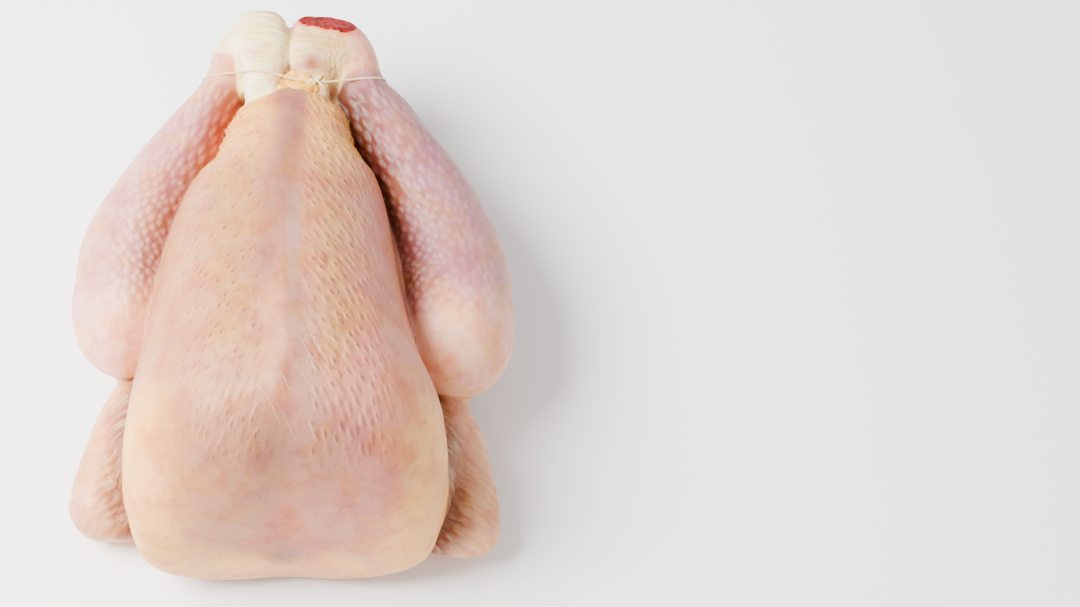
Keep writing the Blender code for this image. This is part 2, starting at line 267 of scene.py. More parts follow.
def trunk_rings():
    angles = round_angles(TRUNK_SIDES)
    across, upward = np.cos(angles), np.sin(angles)
    rings = []
    for y, level, half_l, half_r, rise, drop, centre in smooth_path(TRUNK, TRUNK_STEPS):
        frill = FRILL * np.clip((y - 44) / 22, 0, 1)
        half_l += frill * (math.sin(y / 0.93) + 0.7 * math.sin(y / 0.52 + 1.0) + 0.6 * math.sin(y / 2.1))
        half_r += frill * (math.sin(y / 0.87 + 2.0) + 0.7 * math.sin(y / 0.57)
                           + 0.8 * math.sin(y / 2.3 + 1.0))
        offset = np.where(across > 0, half_r, half_l) * signed_power(across, TRUNK_SIDE_POWER)
        top = rise * signed_power(upward, TRUNK_TOP_POWER)
        bottom = drop * signed_power(upward, TRUNK_BACK_POWER)
        height = level + np.where(upward > 0, top, bottom)
        keel = KEEL_HEIGHT * np.clip((y - KEEL_FROM) / 20, 0, 1) * np.clip((KEEL_TO - y) / 40, 0, 1)
        dip = NECK_DIP * np.clip((NECK_DIP_FROM - y) / 30, 0, 1)
        relief = keel * np.exp(-(offset / KEEL_WIDTH) ** 2) - dip * np.exp(-(offset / NECK_DIP_WIDTH) ** 2)
        height += np.where(upward > 0, relief, 0.0)
        hollow = (NECK_HOLLOW * np.clip((-150.0 - y) / 48, 0, 1) ** 2
                  * np.exp(-(offset / NECK_HOLLOW_WIDTH) ** 2))
        rings.append(np.column_stack([centre + offset, y + hollow, height]))
    return np.array(rings)


def skin_over(rings):
    """Points and quads over closed rings, with a fan of quads closing each end."""
    count, sides, _ = rings.shape
    points = np.vstack([rings.reshape(-1, 3), rings[0].mean(0), rings[-1].mean(0)])
    i, j = np.meshgrid(np.arange(count - 1), np.arange(sides), indexing="ij")
    a = i * sides + j
    b = i * sides + (j + 1) % sides
    quads = np.stack([a, b, b + sides, a + sides], -1).reshape(-1, 4)
    ring = np.arange(sides)
    after = (ring + 1) % sides
    low = np.stack([np.full(sides, count * sides), after, ring], -1)
    last = (count - 1) * sides
    high = np.stack([np.full(sides, count * sides + 1), last + ring, last + after], -1)
    return points, quads, np.vstack([low, high])


# ------------------------------------------------------------------ distance fields
class Field:
    """Signed distances to the bird's forms on one grid of cells, all in mm."""

    MARGIN = 9.0  # mm of empty grid round the frame's box

    def __init__(self, cell, band=9):
        self.cell = cell / MM
        self.band = band                 # cells of true distance each side of a surface
        self.reach = 0.6 * band * self.cell
        low, high = (np.array(corner) / MM for corner in CAD_BOX)
        self.low = low - self.MARGIN
        self.shape = np.ceil((high + self.MARGIN - self.low) / self.cell).astype(int)
        self.transform = openvdb.createLinearTransform(voxelSize=1.0)

    def of(self, rings):
        points, quads, triangles = skin_over(rings - BIRD_CENTRE)
        grid = openvdb.FloatGrid.createLevelSetFromPolygons(
            ((points - self.low) / self.cell).astype(np.float32), triangles=triangles.astype(np.uint32),
            quads=quads.astype(np.uint32), transform=self.transform, halfWidth=float(self.band))
        values = np.empty(self.shape, np.float32)
        grid.copyToArray(values, ijk=(0, 0, 0))
        return values * self.cell

    def heights(self):
        """Distance above the table at each cell, as a field that cuts the flat back."""
        z = self.low[2] + np.arange(self.shape[2]) * self.cell
        return np.broadcast_to(z.astype(np.float32), self.shape)

    def plane(self, point, normal):
        """Distance past a plane, whose point is a station of the tables."""
        axes = [self.low[i] + np.arange(self.shape[i]) * self.cell for i in range(3)]
        base = np.asarray(point, float) - BIRD_CENTRE
        steps = [(axis - base[i]) * normal[i] for i, axis in enumerate(axes)]
        total = steps[0][:, None, None] + steps[1][None, :, None] + steps[2][None, None, :]
        return total.astype(np.float32)

    def surface(self, values):
        """Points (mm) and outward quads of the zero surface."""
        grid = openvdb.FloatGrid(float(self.band))
        grid.transform = self.transform
        grid.copyFromArray(np.ascontiguousarray(values / self.cell, dtype=np.float32), ijk=(0, 0, 0))
        points, _, quads = grid.convertToPolygons(isovalue=0.0, adaptivity=0.0)
        return points * self.cell + self.low, quads.astype(np.int64)

    def sample(self, values, points):
        """Values between the cells, by trilinear interpolation."""
        place = (points - self.low) / self.cell
        base = np.clip(np.floor(place).astype(int), 0, self.shape - 2)
        f = np.clip(place - base, 0.0, 1.0)
        total = np.zeros(len(points))
        for corner in np.ndindex(2, 2, 2):
            share = np.ones(len(points))
            for axis, step in enumerate(corner):
                share *= f[:, axis] if step else 1.0 - f[:, axis]
            spot = base + corner
            total += share * values[spot[:, 0], spot[:, 1], spot[:, 2]]
        return total

    def slope(self, values, points, reach=0.7):
        """Unit gradient, which points outwards."""
        steps = np.eye(3) * reach * self.cell
        rise = np.column_stack([self.sample(values, points + step) - self.sample(values, points - step)
                                for step in steps])
        return rise / np.maximum(np.linalg.norm(rise, axis=1), 1e-9)[:, None]


def melt(a, b, width):
    """Union with a fillet of about the given width where the two meet."""
    overlap = np.maximum(width - np.abs(a - b), 0.0) / width
    return np.minimum(a, b) - overlap * overlap * width * 0.25


def bird_fields(field):
    """The whole bird's field, and those of its regions."""
    limb = {name: field.of(limb_rings(stations, SHANK_POWER if name.startswith("shank") else 1.0))
            for name, stations in LIMBS.items()}
    trunk = field.of(trunk_rings())
    core = melt(trunk, limb["abdomen"], 10.0)
    core = melt(core, limb["tail"], 10.0)
    core = melt(core, limb["web_l"], 6.0)
    core = melt(core, limb["web_r"], 6.0)
    core = melt(core, limb["join"], 6.0)
    cut = field.plane(CUT_POINT, CUT_NORMAL)
    regions = {"trunk": trunk, "cut": cut}
    body = core
    for side in "lr":
        thigh, drumstick = limb["thigh_" + side], limb["drumstick_" + side]
        hock, shank = limb["hock_" + side], limb["shank_" + side]
        if side == "r":
            hock = np.maximum(hock, cut)
            shank = melt(shank, limb["knuckle_r"], 5.0)
        body = melt(body, thigh, 14.0)
        leg = melt(melt(drumstick, hock, 8.0), shank, 4.0)
        near_thigh = np.clip((trunk - thigh) / 10.0 + 0.3, 0.0, 1.0)
        body = melt(body, leg, 1.8 + 12.0 * near_thigh)
        wing = melt(limb["upper_wing_" + side], limb["forearm_" + side], 8.0)
        wing = melt(wing, limb["wing_skin_" + side], 9.0)
        wing = melt(wing, limb["wing_tip_" + side], 7.0)
        body = melt(body, wing, 4.0)
        for name, values in (("thigh_", thigh), ("leg_", drumstick), ("hock_", hock), ("shank_", shank),
                             ("wing_", wing)):
            regions[name + side] = values
    body = np.maximum(body, -field.heights())
    return body, regions


def distances(field, regions, points):
    """Each region's distance at the points, from a coarser grid where the fine one ends."""
    coarse = Field(WIDE_CELL, WIDE_BAND)
    _, wide = bird_fields(coarse)
    near = {}
    for name, values in regions.items():
        close = field.sample(values, points)
        far = np.maximum(coarse.sample(wide[name], points), field.reach)
        near[name] = np.where(close < field.reach, close, far)
    return near


# ------------------------------------------------------------------ surface coordinates
def along_limb(points, stations):
    """Distance along a limb and distance round it from its top, in mm."""
    path = smooth_path(stations, 8)
    _, side, up = limb_frames(path)
    lengths = np.concatenate([[0.0], np.cumsum(np.linalg.norm(np.diff(path[:, :3], axis=0), axis=1))])
    nearest = np.zeros(len(points), int)
    best = np.full(len(points), 1e9)
    for index, centre in enumerate(path[:, :3]):
        gap = ((points - centre) ** 2).sum(1)
        closer = gap < best
        nearest[closer] = index
        best[closer] = gap[closer]
    offset = points - path[nearest, :3]
    direction = np.cross(up[nearest], side[nearest])
    run = lengths[nearest] + (offset * direction).sum(1)
    angle = np.arctan2((offset * side[nearest]).sum(1), (offset * up[nearest]).sum(1))
    radius = np.interp(run, lengths, path[:, 3:5].mean(1))
    return run, angle * radius


def across_trunk(points):
    """Distance round the trunk from its keel, in mm."""
    path = smooth_path(TRUNK, 8)
    radius = np.interp(points[:, 1], path[:, 0], (path[:, 2] + path[:, 3]) / 2)
    level = np.interp(points[:, 1], path[:, 0], path[:, 1])
    centre = np.interp(points[:, 1], path[:, 0], path[:, 6])
    return np.arctan2(points[:, 0] - centre, points[:, 2] - level + 1e-6) * radius


def ramp(values, low, high):
    """Smooth step from 0 at low to 1 at high; low may be the larger."""
    t = np.clip((values - low) / (high - low), 0.0, 1.0)
    return t * t * (3.0 - 2.0 * t)


def ripple(a, b):
    """Slow uneven waves of about 1, which keep the rows of bumps from running straight."""
    return (np.sin(a / 11.0 + 0.6 * np.sin(b / 17.0)) + np.sin(b / 14.0 + 1.3 + 0.8 * np.sin(a / 19.0))) / 2


REGION_STEP = 300.0     # mm between the regions' own stretches of pattern
FOLD_TURN = -55.0       # degrees: the wings' folds run this way from straight up


def skin_places(points, near):
    """Where each point lies in its region's pattern, and how strong each pattern is there."""
    x, y, z = points.T
    across = across_trunk(points)
    place = np.column_stack([np.abs(across), y + 3.7 * np.sign(across)])
    left = near["trunk"].copy()
    strength = {name: np.zeros(len(points)) for name in ("bumps", "folds", "rings", "scales")}
    strength["pits"] = (ramp(np.abs(across), 9, 22) * ramp(np.abs(across), 92, 50) * ramp(y, -182, -160)
                        * ramp(near["leg_l"], 2, 6) * ramp(near["leg_r"], 2, 6))
    fold = math.radians(FOLD_TURN)
    for side, sign in (("l", -1.0), ("r", 1.0)):
        closeness = ramp(near["trunk"], 52, 10)
        for part in ("leg_", "wing_", "hock_", "shank_"):
            gap = left - near[part + side]
            mine = gap > 0
            left = np.minimum(left, near[part + side])
            clear = ramp(np.abs(gap), 0.0, 2.5)
            for name in strength:
                strength[name] = np.where(mine, 0.0, strength[name] * clear)
            if part == "leg_":
                run, round_it = along_limb(points, LIMBS["drumstick_" + side])
                run = run - 0.35 * np.maximum(run - 105.0, 0.0)
                own = np.column_stack([round_it * sign, run])
                inner = closeness
                if side == "r":
                    inner = np.maximum(closeness, 0.35 * ramp(near["trunk"], 75, 35))
                value = (0.1 + 0.9 * inner) * ramp(y, -62, -20)
                strength["bumps"] = np.where(mine, value * clear, strength["bumps"])
            elif part == "wing_":
                own = np.column_stack([np.abs(x), y])
                value = 0.35 + 0.65 * ramp(near["trunk"], 26, 6)
                strength["folds"] = np.where(mine, value * clear, strength["folds"])
            elif part == "hock_":
                own = np.column_stack([x * math.cos(fold) + y * math.sin(fold),
                                       -x * math.sin(fold) + y * math.cos(fold)])
                strength["folds"] = np.where(mine, 0.35 * ramp(y, 168, 140) * clear, strength["folds"])
            else:
                own = np.column_stack([x, y])
                scaly = ramp(x, 22, 34)
                strength["rings"] = np.where(mine, (1 - 0.7 * scaly) * clear, strength["rings"])
                strength["scales"] = np.where(mine, scaly * clear, strength["scales"])
            place[mine] = (own + REGION_STEP * (1 + sign))[mine]
    wave = ripple(place[:, 0], place[:, 1])
    place[:, 0] += 1.6 * wave
    place[:, 1] += 1.6 * ripple(place[:, 1] + 40.0, place[:, 0])
    strength["flesh"] = ramp(near["cut"], -1.6, -0.5) * ramp(near["hock_r"], 1.5, 0.7) * ramp(y, 160, 168)
    for name in strength:
        if name != "flesh":
            strength[name] = strength[name] * (1 - strength["flesh"])
    return place, strength


# ------------------------------------------------------------------ region colours
def mixed(base, colour, share):
    return base + (np.asarray(colour) - base) * np.clip(share, 0.0, 1.0)[:, None]


def spot(points, centre, halves):
    """1 at the centre, fading to nothing round an ellipsoid."""
    gap = (points - np.asarray(centre)) / np.asarray(halves)
    return np.exp(-(gap ** 2).sum(1))


SKIN_TONES = {
    "breast_left": srgb(189, 129, 90),
    "breast_right": srgb(200, 127, 105),
    "band": srgb(181, 128, 76),
    "flap": srgb(246, 178, 92),
    "keel": srgb(122, 74, 67),
    "keel_strip": srgb(181, 139, 122),
    "fibre": srgb(165, 122, 105),
    "keel_tip": srgb(136, 77, 40),
    "middle": srgb(138, 91, 72),
    "lower_side": srgb(242, 176, 92),
    "neck_pink": srgb(190, 94, 67),
    "neck_grey": srgb(136, 95, 82),
    "leg": srgb(238, 176, 160),
    "leg_lilac": srgb(166, 114, 120),
    "knee": srgb(242, 184, 150),
    # painted shade: the next three darken the legs' creases against the trunk
    "crease_shade_orange": srgb(156, 64, 24),
    "crease_shade_brown": srgb(138, 74, 48),
    "crease_shade_deep": srgb(84, 38, 20),
    "leg_spot": srgb(196, 104, 76),
    "shank": srgb(255, 238, 190),
    "shank_beige": srgb(228, 188, 136),
    "shank_tan": srgb(150, 78, 36),
    "hock": srgb(232, 154, 128),
    "wing": srgb(228, 166, 120),
    # painted shade in the wing's crease against the trunk
    "wing_crease_shade": srgb(124, 70, 36),
    "flesh": srgb(166, 4, 4),
    "rim": srgb(224, 117, 97),
    "back": srgb(214, 158, 124),
}


def paint(points, near, flesh):
    """Colour of every point of the skin, from the bird's regions, with painted shade in the legs' and wings'
    creases against the trunk.
    """
    x, y, z = points.T
    tone = {name: np.asarray(colour) for name, colour in SKIN_TONES.items()}
    across = across_trunk(points)
    colour = mixed(np.tile(tone["breast_left"], (len(points), 1)), tone["breast_right"], ramp(x, -30, 50))
    band = np.exp(-((np.abs(across) - 34) / 17) ** 2) * ramp(y, -150, -90)
    colour = mixed(colour, tone["band"], 0.9 * band)
    colour = mixed(colour, tone["lower_side"], ramp(np.abs(across), 70, 115) * ramp(y, -95, -140))
    colour = mixed(colour, tone["flap"], 0.8 * ramp(y, 25, 85) * ramp(np.abs(x - 4), 6, 16))
    keel_line = -12.0 + 0.087 * (y + 60.0)
    keel = np.exp(-((x - keel_line) / 13.0) ** 2) * ramp(y, -85, -40) * ramp(y, 130, 112)
    colour = mixed(colour, tone["keel"], 0.6 * keel)
    strip = np.exp(-((x - 5.5) / 4.5) ** 2) * ramp(y, -120, -80) * ramp(y, 30, 0)
    colour = mixed(colour, tone["keel_strip"], 0.8 * strip)
    colour = mixed(colour, tone["middle"], 0.85 * spot(points, (2, -165, 150), (52, 24, 60)))
    colour = mixed(colour, tone["fibre"], 0.75 * spot(points, (14, -118, 185), (11, 40, 60)))
    colour = mixed(colour, tone["keel_tip"], 0.8 * spot(points, (-1, -130, 188), (5, 12, 60)))
    wedge = ramp(np.abs(x), 8 + (122 - z) * 0.55, (122 - z) * 0.55 - 6) * ramp(z, 134, 122) * ramp(z, 60, 84)
    colour = mixed(colour, tone["neck_pink"], 0.75 * wedge * ramp(y, -178, -186))
    colour = mixed(colour, tone["neck_grey"], 0.7 * spot(points, (0, -198, 55), (14, 20, 15)))
    colour = mixed(colour, tone["back"], ramp(z, 45, 12))
    thighs = np.minimum(near["thigh_l"], near["thigh_r"])
    for side in "lr":
        part = np.minimum(near["leg_" + side], near["thigh_" + side])
        leg = ramp(near["trunk"] - part, -0.8, 0.8)
        skin = mixed(np.tile(tone["leg"], (len(points), 1)), tone["leg_lilac"], (0.4 if side == "l" else 1.0)
                     * ramp(y, -60, 0) * ramp(near["trunk"], 110, 45))
        skin = mixed(skin, tone["knee"], ramp(y, -20, -62) * 0.8)
        # painted shade: the leg darkens to brown, orange and, on the right, deep brown in its creases against
        # the trunk
        closeness = ramp(near["trunk"], 30, 3)
        skin = mixed(skin, tone["crease_shade_brown"], closeness * ramp(y, -80, 0) * 0.85)
        skin = mixed(skin, tone["crease_shade_orange"], ramp(near["trunk"], 26, 3) * ramp(y, 45, 92))
        if side == "r":
            skin = mixed(skin, tone["crease_shade_deep"], 0.95 * ramp(near["trunk"], 10, 2) * ramp(y, -20, 40))
            skin = mixed(skin, tone["crease_shade_deep"], 0.9 * ramp(near["trunk"], 26, 8) * ramp(y, 50, 80))
            skin = mixed(skin, tone["leg_spot"], 0.5 * spot(points, (131, -41, 112), (5, 8, 20)))
        colour = colour * (1 - leg)[:, None] + skin * leg[:, None]
        wing = ramp(np.minimum(near["trunk"], thighs) - near["wing_" + side], -0.8, 1.2)
        skin = np.tile(tone["wing"], (len(points), 1))
        # painted shade: the wing darkens in its crease against the trunk
        skin = mixed(skin, tone["wing_crease_shade"], ramp(near["trunk"], 28, 5) * ramp(z, 8, 25) * 0.9)
        colour = colour * (1 - wing)[:, None] + skin * wing[:, None]
        hock = ramp(np.minimum(near["leg_" + side], near["trunk"]) - near["hock_" + side], -3, 4)
        colour = mixed(colour, tone["hock"], hock * ramp(y, 130, 142))
        others = np.minimum(near["trunk"], np.minimum(near["hock_" + side], near["leg_" + side]))
        shank = ramp(others - near["shank_" + side], -4.0, -1.0)
        skin = mixed(np.tile(tone["shank"], (len(points), 1)), tone["hock"], 0.75 * ramp(x, 34, 50))
        skin = mixed(skin, tone["shank_beige"], 0.8 * ramp(x, 2, 8))
        skin = mixed(skin, tone["shank_tan"], 0.95 * spot(points, (18, 137, 131), (9, 8, 20)))
        colour = colour * (1 - shank)[:, None] + skin * shank[:, None]
    rim = ramp(near["cut"], -5.0, -1.5) * ramp(near["hock_r"], 3, 1) * ramp(y, 160, 168)
    colour = mixed(colour, tone["rim"], 0.8 * rim)
    colour = mixed(colour, tone["flesh"], flesh)
    return np.clip(colour, 0.0, 1.0)


# ------------------------------------------------------------------ mesh helpers
def mesh_object(name, points, faces, edges=()):
    """A smooth mesh object from points in mm."""
    mesh = bpy.data.meshes.new(name)
    places = (np.asarray(points) * MM).tolist()
    mesh.from_pydata(places, np.asarray(edges).tolist(), np.asarray(faces).tolist())
    mesh.shade_smooth()
    thing = bpy.data.objects.new(name, mesh)
    bpy.context.scene.collection.objects.link(thing)
    return thing


def add_values(mesh, name, values):
    values = np.asarray(values, np.float32)
    if values.ndim == 1:
        mesh.attributes.new(name, "FLOAT", "POINT").data.foreach_set("value", values)
    else:
        mesh.attributes.new(name, "FLOAT_VECTOR", "POINT").data.foreach_set("vector", values.ravel())


def add_colours(mesh, name, colours):
    rgba = np.ones((len(colours), 4), np.float32)
    rgba[:, :3] = colours
    mesh.attributes.new(name, "FLOAT_COLOR", "POINT").data.foreach_set("color", rgba.ravel())


def settle(thing):
    """Replace the object's mesh by its evaluated one and drop the modifiers."""
    graph = bpy.context.evaluated_depsgraph_get()
    mesh = bpy.data.meshes.new_from_object(thing.evaluated_get(graph))
    thing.modifiers.clear()
    thing.data = mesh
    return thing


def rest_on_table(thing):
    """Bring what the relief pushed under the table back up to it."""
    place = np.empty(len(thing.data.vertices) * 3, np.float32)
    thing.data.vertices.foreach_get("co", place)
    place[2::3] = np.maximum(place[2::3], 0.0)
    thing.data.vertices.foreach_set("co", place)
    thing.data.update()


# ------------------------------------------------------------------ node helpers
class Tree:
    """A few short calls for writing node trees."""

    def __init__(self, tree):
        self.tree = tree

    def node(self, kind, inputs=(), **settings):
        made = self.tree.nodes.new(kind)
        for key, value in settings.items():
            setattr(made, key, value)
        for key, value in dict(inputs).items():
            self.feed(made.inputs[key], value)
        return made

    def feed(self, socket, value):
        if isinstance(value, bpy.types.NodeSocket):
            self.tree.links.new(value, socket)
        else:
            socket.default_value = value

    def math(self, operation, a, b=0.0, c=0.0):
        made = self.tree.nodes.new("ShaderNodeMath")
        made.operation = operation
        for socket, value in zip(made.inputs, (a, b, c)):
            self.feed(socket, value)
        return made.outputs[0]

    def product(self, *values):
        total = values[0]
        for value in values[1:]:
            total = self.math("MULTIPLY", total, value)
        return total

    def total(self, *values):
        result = values[0]
        for value in values[1:]:
            result = self.math("ADD", result, value)
        return result

    def vector(self, operation, a, b=None, scale=None):
        made = self.tree.nodes.new("ShaderNodeVectorMath")
        made.operation = operation
        self.feed(made.inputs[0], a)
        if b is not None:
            self.feed(made.inputs[1], b)
        if scale is not None:
            self.feed(made.inputs["Scale"], scale)
        return made.outputs["Value"] if operation in {"LENGTH", "DOT_PRODUCT"} else made.outputs[0]

    def map(self, value, low, high, to_low=0.0, to_high=1.0):
        made = self.tree.nodes.new("ShaderNodeMapRange")
        made.interpolation_type = "SMOOTHSTEP"
        for socket, number in zip(made.inputs[:5], (value, low, high, to_low, to_high)):
            self.feed(socket, number)
        return made.outputs[0]

    def noise(self, place, scale, detail=2.0, roughness=0.5):
        made = self.node("ShaderNodeTexNoise", {"Vector": place, "Scale": scale, "Detail": detail,
                                                "Roughness": roughness})
        return made.outputs[0]

    def cells(self, place, randomness, feature="F1"):
        """A jittered lattice: distance to its nearest point, and a number of that point's own."""
        made = self.node("ShaderNodeTexVoronoi", {}, voronoi_dimensions="2D", feature=feature)
        self.feed(made.inputs["Vector"], place)
        self.feed(made.inputs["Scale"], 1.0)
        self.feed(made.inputs["Randomness"], randomness)
        if feature == "DISTANCE_TO_EDGE":
            return made.outputs["Distance"], None
        return made.outputs["Distance"], self.node("ShaderNodeSeparateColor" if self.shading else
                                                   "FunctionNodeSeparateColor",
                                                   {"Color": made.outputs["Color"]}).outputs[0]

    @property
    def shading(self):
        return self.tree.bl_idname == "ShaderNodeTree"

    def turned(self, place, degrees):
        made = self.node("ShaderNodeVectorRotate", {"Vector": place}, rotation_type="Z_AXIS")
        made.inputs["Angle"].default_value = math.radians(degrees)
        return made.outputs[0]

    def scaled(self, place, across, along):
        """Counted in cells of the given sizes."""
        return self.vector("MULTIPLY", place, (1 / across, 1 / along, 0.0))


# ------------------------------------------------------------------ patterns, the same for relief and colour
PATTERNS = ("bumps", "pits", "folds", "rings", "scales", "flesh")    # a strength for each, at every point


def leg_bumps(tree, place, settings):
    """Feather bumps in slanting rows: rise, the head that takes a painted highlight and the groove that takes
    painted shade, each 0 to 1.
    """
    spacing = settings.bump_spacing
    cells = tree.turned(tree.scaled(place, spacing * 0.86, spacing * 1.12), 45.0)
    gap, own = tree.cells(cells, 0.6)
    size = tree.map(own, 0.0, 1.0, 0.55, 1.0)
    rise = tree.product(tree.map(gap, 0.60, 0.06), size)
    bump_highlight = tree.product(tree.map(gap, 0.34, 0.05), size)
    groove_shade = tree.map(gap, 0.30, 0.60)
    return rise, bump_highlight, groove_shade


def breast_pits(tree, place, settings):
    """Slanting feather pits: the drop, the ridge beside it and the swelling between, each 0 to 1."""
    spacing = settings.pit_spacing
    leaning = tree.turned(place, -32.0)
    cells = tree.scaled(leaning, spacing * 0.85, spacing * 1.8)
    gap, own = tree.cells(cells, 0.75)
    smooth_gap, _ = tree.cells(cells, 0.75, "SMOOTH_F1")
    strong = tree.map(own, 0.15, 0.95)
    drop = tree.product(tree.map(gap, 0.27, 0.06), strong)
    beside = tree.vector("ADD", cells, (0.26, 0.0, 0.0))
    ridge_gap, ridge_own = tree.cells(beside, 0.75)
    ridge = tree.product(tree.map(ridge_gap, 0.32, 0.08), tree.map(ridge_own, 0.1, 0.8))
    return drop, ridge, tree.map(smooth_gap, 0.5, 0.1)


def skin_folds(tree, place):
    """Loose slanting folds of the wings: 0 in the creases to 1 on the folds."""
    leaning = tree.turned(place, FOLD_TURN)
    broad = tree.noise(tree.scaled(leaning, 0.0036, 0.013), 1.0, 1.5)
    fine = tree.noise(tree.scaled(leaning, 0.0016, 0.0060), 1.0, 2.0)
    return tree.total(tree.product(tree.map(broad, 0.34, 0.66), 0.7),
                      tree.product(tree.map(fine, 0.3, 0.7), 0.3))


def shank_rings(tree, place):
    """Rings across the shanks: 0 in the creases to 1 on the rings."""
    return tree.map(tree.noise(tree.scaled(place, 0.022, 0.0021), 1.0, 1.0), 0.36, 0.62)


def shank_scales(tree, place):
    """Net of scales on the right knuckle: 0 in the creases to 1 on a scale."""
    gap, _ = tree.cells(tree.scaled(place, 0.0034, 0.0034), 0.8, "DISTANCE_TO_EDGE")
    return tree.map(gap, 0.02, 0.25)


def finish_tree(tree, geometry, material):
    """End a geometry tree: real geometry, dressed in its material."""
    real = tree.node("GeometryNodeRealizeInstances", {"Geometry": geometry})
    dressed = tree.node("GeometryNodeSetMaterial", {"Geometry": real.outputs[0], "Material": material})
    out = tree.tree.nodes.new("NodeGroupOutput")
    tree.tree.links.new(dressed.outputs[0], out.inputs["Geometry"])


def relief_tree(settings):
    """Geometry Nodes: feather bumps, pits, folds and rings, raised along the normals."""
    group = bpy.data.node_groups.new("Skin relief", "GeometryNodeTree")
    face = group.interface
    face.new_socket("Geometry", in_out="INPUT", socket_type="NodeSocketGeometry")
    for label, default in (("Bump height", settings.bump_height), ("Pit depth", settings.pit_depth),
                           ("Fold height", settings.fold_height), ("Ring height", settings.ring_height),
                           ("Lump height", settings.lump_height)):
        face.new_socket(label, in_out="INPUT", socket_type="NodeSocketFloat").default_value = default
    face.new_socket("Material", in_out="INPUT", socket_type="NodeSocketMaterial")
    face.new_socket("Geometry", in_out="OUTPUT", socket_type="NodeSocketGeometry")
    tree = Tree(group)
    given = group.nodes.new("NodeGroupInput").outputs
    named = {}
    for name in ("surface", *PATTERNS):
        kind = "FLOAT_VECTOR" if name == "surface" else "FLOAT"
        reader = tree.node("GeometryNodeInputNamedAttribute", {"Name": name}, data_type=kind)
        named[name] = reader.outputs[0]
    place = named["surface"]
    position = group.nodes.new("GeometryNodeInputPosition").outputs[0]
    normal = group.nodes.new("GeometryNodeInputNormal").outputs[0]
    rise, _, _ = leg_bumps(tree, place, settings)
    drop, ridge, _ = breast_pits(tree, place, settings)
    pits = tree.math("SUBTRACT", tree.product(ridge, 0.15), drop)
    folds = tree.math("SUBTRACT", skin_folds(tree, place), 0.6)
    rings = tree.math("SUBTRACT", shank_rings(tree, place), 0.6)
    scales = tree.math("SUBTRACT", shank_scales(tree, place), 0.6)
    fibres = tree.math("SUBTRACT", tree.noise(position, 700.0, 3.0), 0.5)
    lumps = tree.math("SUBTRACT", tree.noise(position, 30.0, 2.0), 0.5)
    height = tree.total(
        tree.product(rise, named["bumps"], given["Bump height"]),
        tree.product(pits, named["pits"], given["Pit depth"]),
        tree.product(folds, named["folds"], given["Fold height"]),
        tree.product(rings, named["rings"], given["Ring height"]),
        tree.product(scales, named["scales"], given["Ring height"]),
        tree.product(fibres, named["flesh"], 0.0012),
        tree.product(lumps, given["Lump height"]))
    push = tree.vector("SCALE", normal, scale=height)
    moved = tree.node("GeometryNodeSetPosition", {"Geometry": given["Geometry"], "Offset": push})
    finish_tree(tree, moved.outputs[0], given["Material"])
    return group


def set_input(modifier, label, value):
    for item in modifier.node_group.interface.items_tree:
        if item.name == label and item.in_out == "INPUT":
            modifier[item.identifier] = value


# ------------------------------------------------------------------ materials
def new_material(name):
    material = bpy.data.materials.new(name)
    material.use_nodes = True
    material.node_tree.nodes.clear()
    tree = Tree(material.node_tree)
    shader = tree.node("ShaderNodeBsdfPrincipled")
    out = tree.node("ShaderNodeOutputMaterial")
    material.node_tree.links.new(shader.outputs[0], out.inputs["Surface"])
    return material, tree, shader


def attribute(tree, name, output="Fac"):
    made = tree.node("ShaderNodeAttribute")
    made.attribute_name = name
    return made.outputs[output]


def tinted(tree, base, colour, share, blend="MIX"):
    made = tree.node("ShaderNodeMix", data_type="RGBA", blend_type=blend)
    tree.feed(made.inputs["Factor"], share)
    colours = [socket for socket in made.inputs if socket.type == "RGBA"]
    tree.feed(colours[0], base)
    tree.feed(colours[1], colour)
    return next(socket for socket in made.outputs if socket.type == "RGBA")


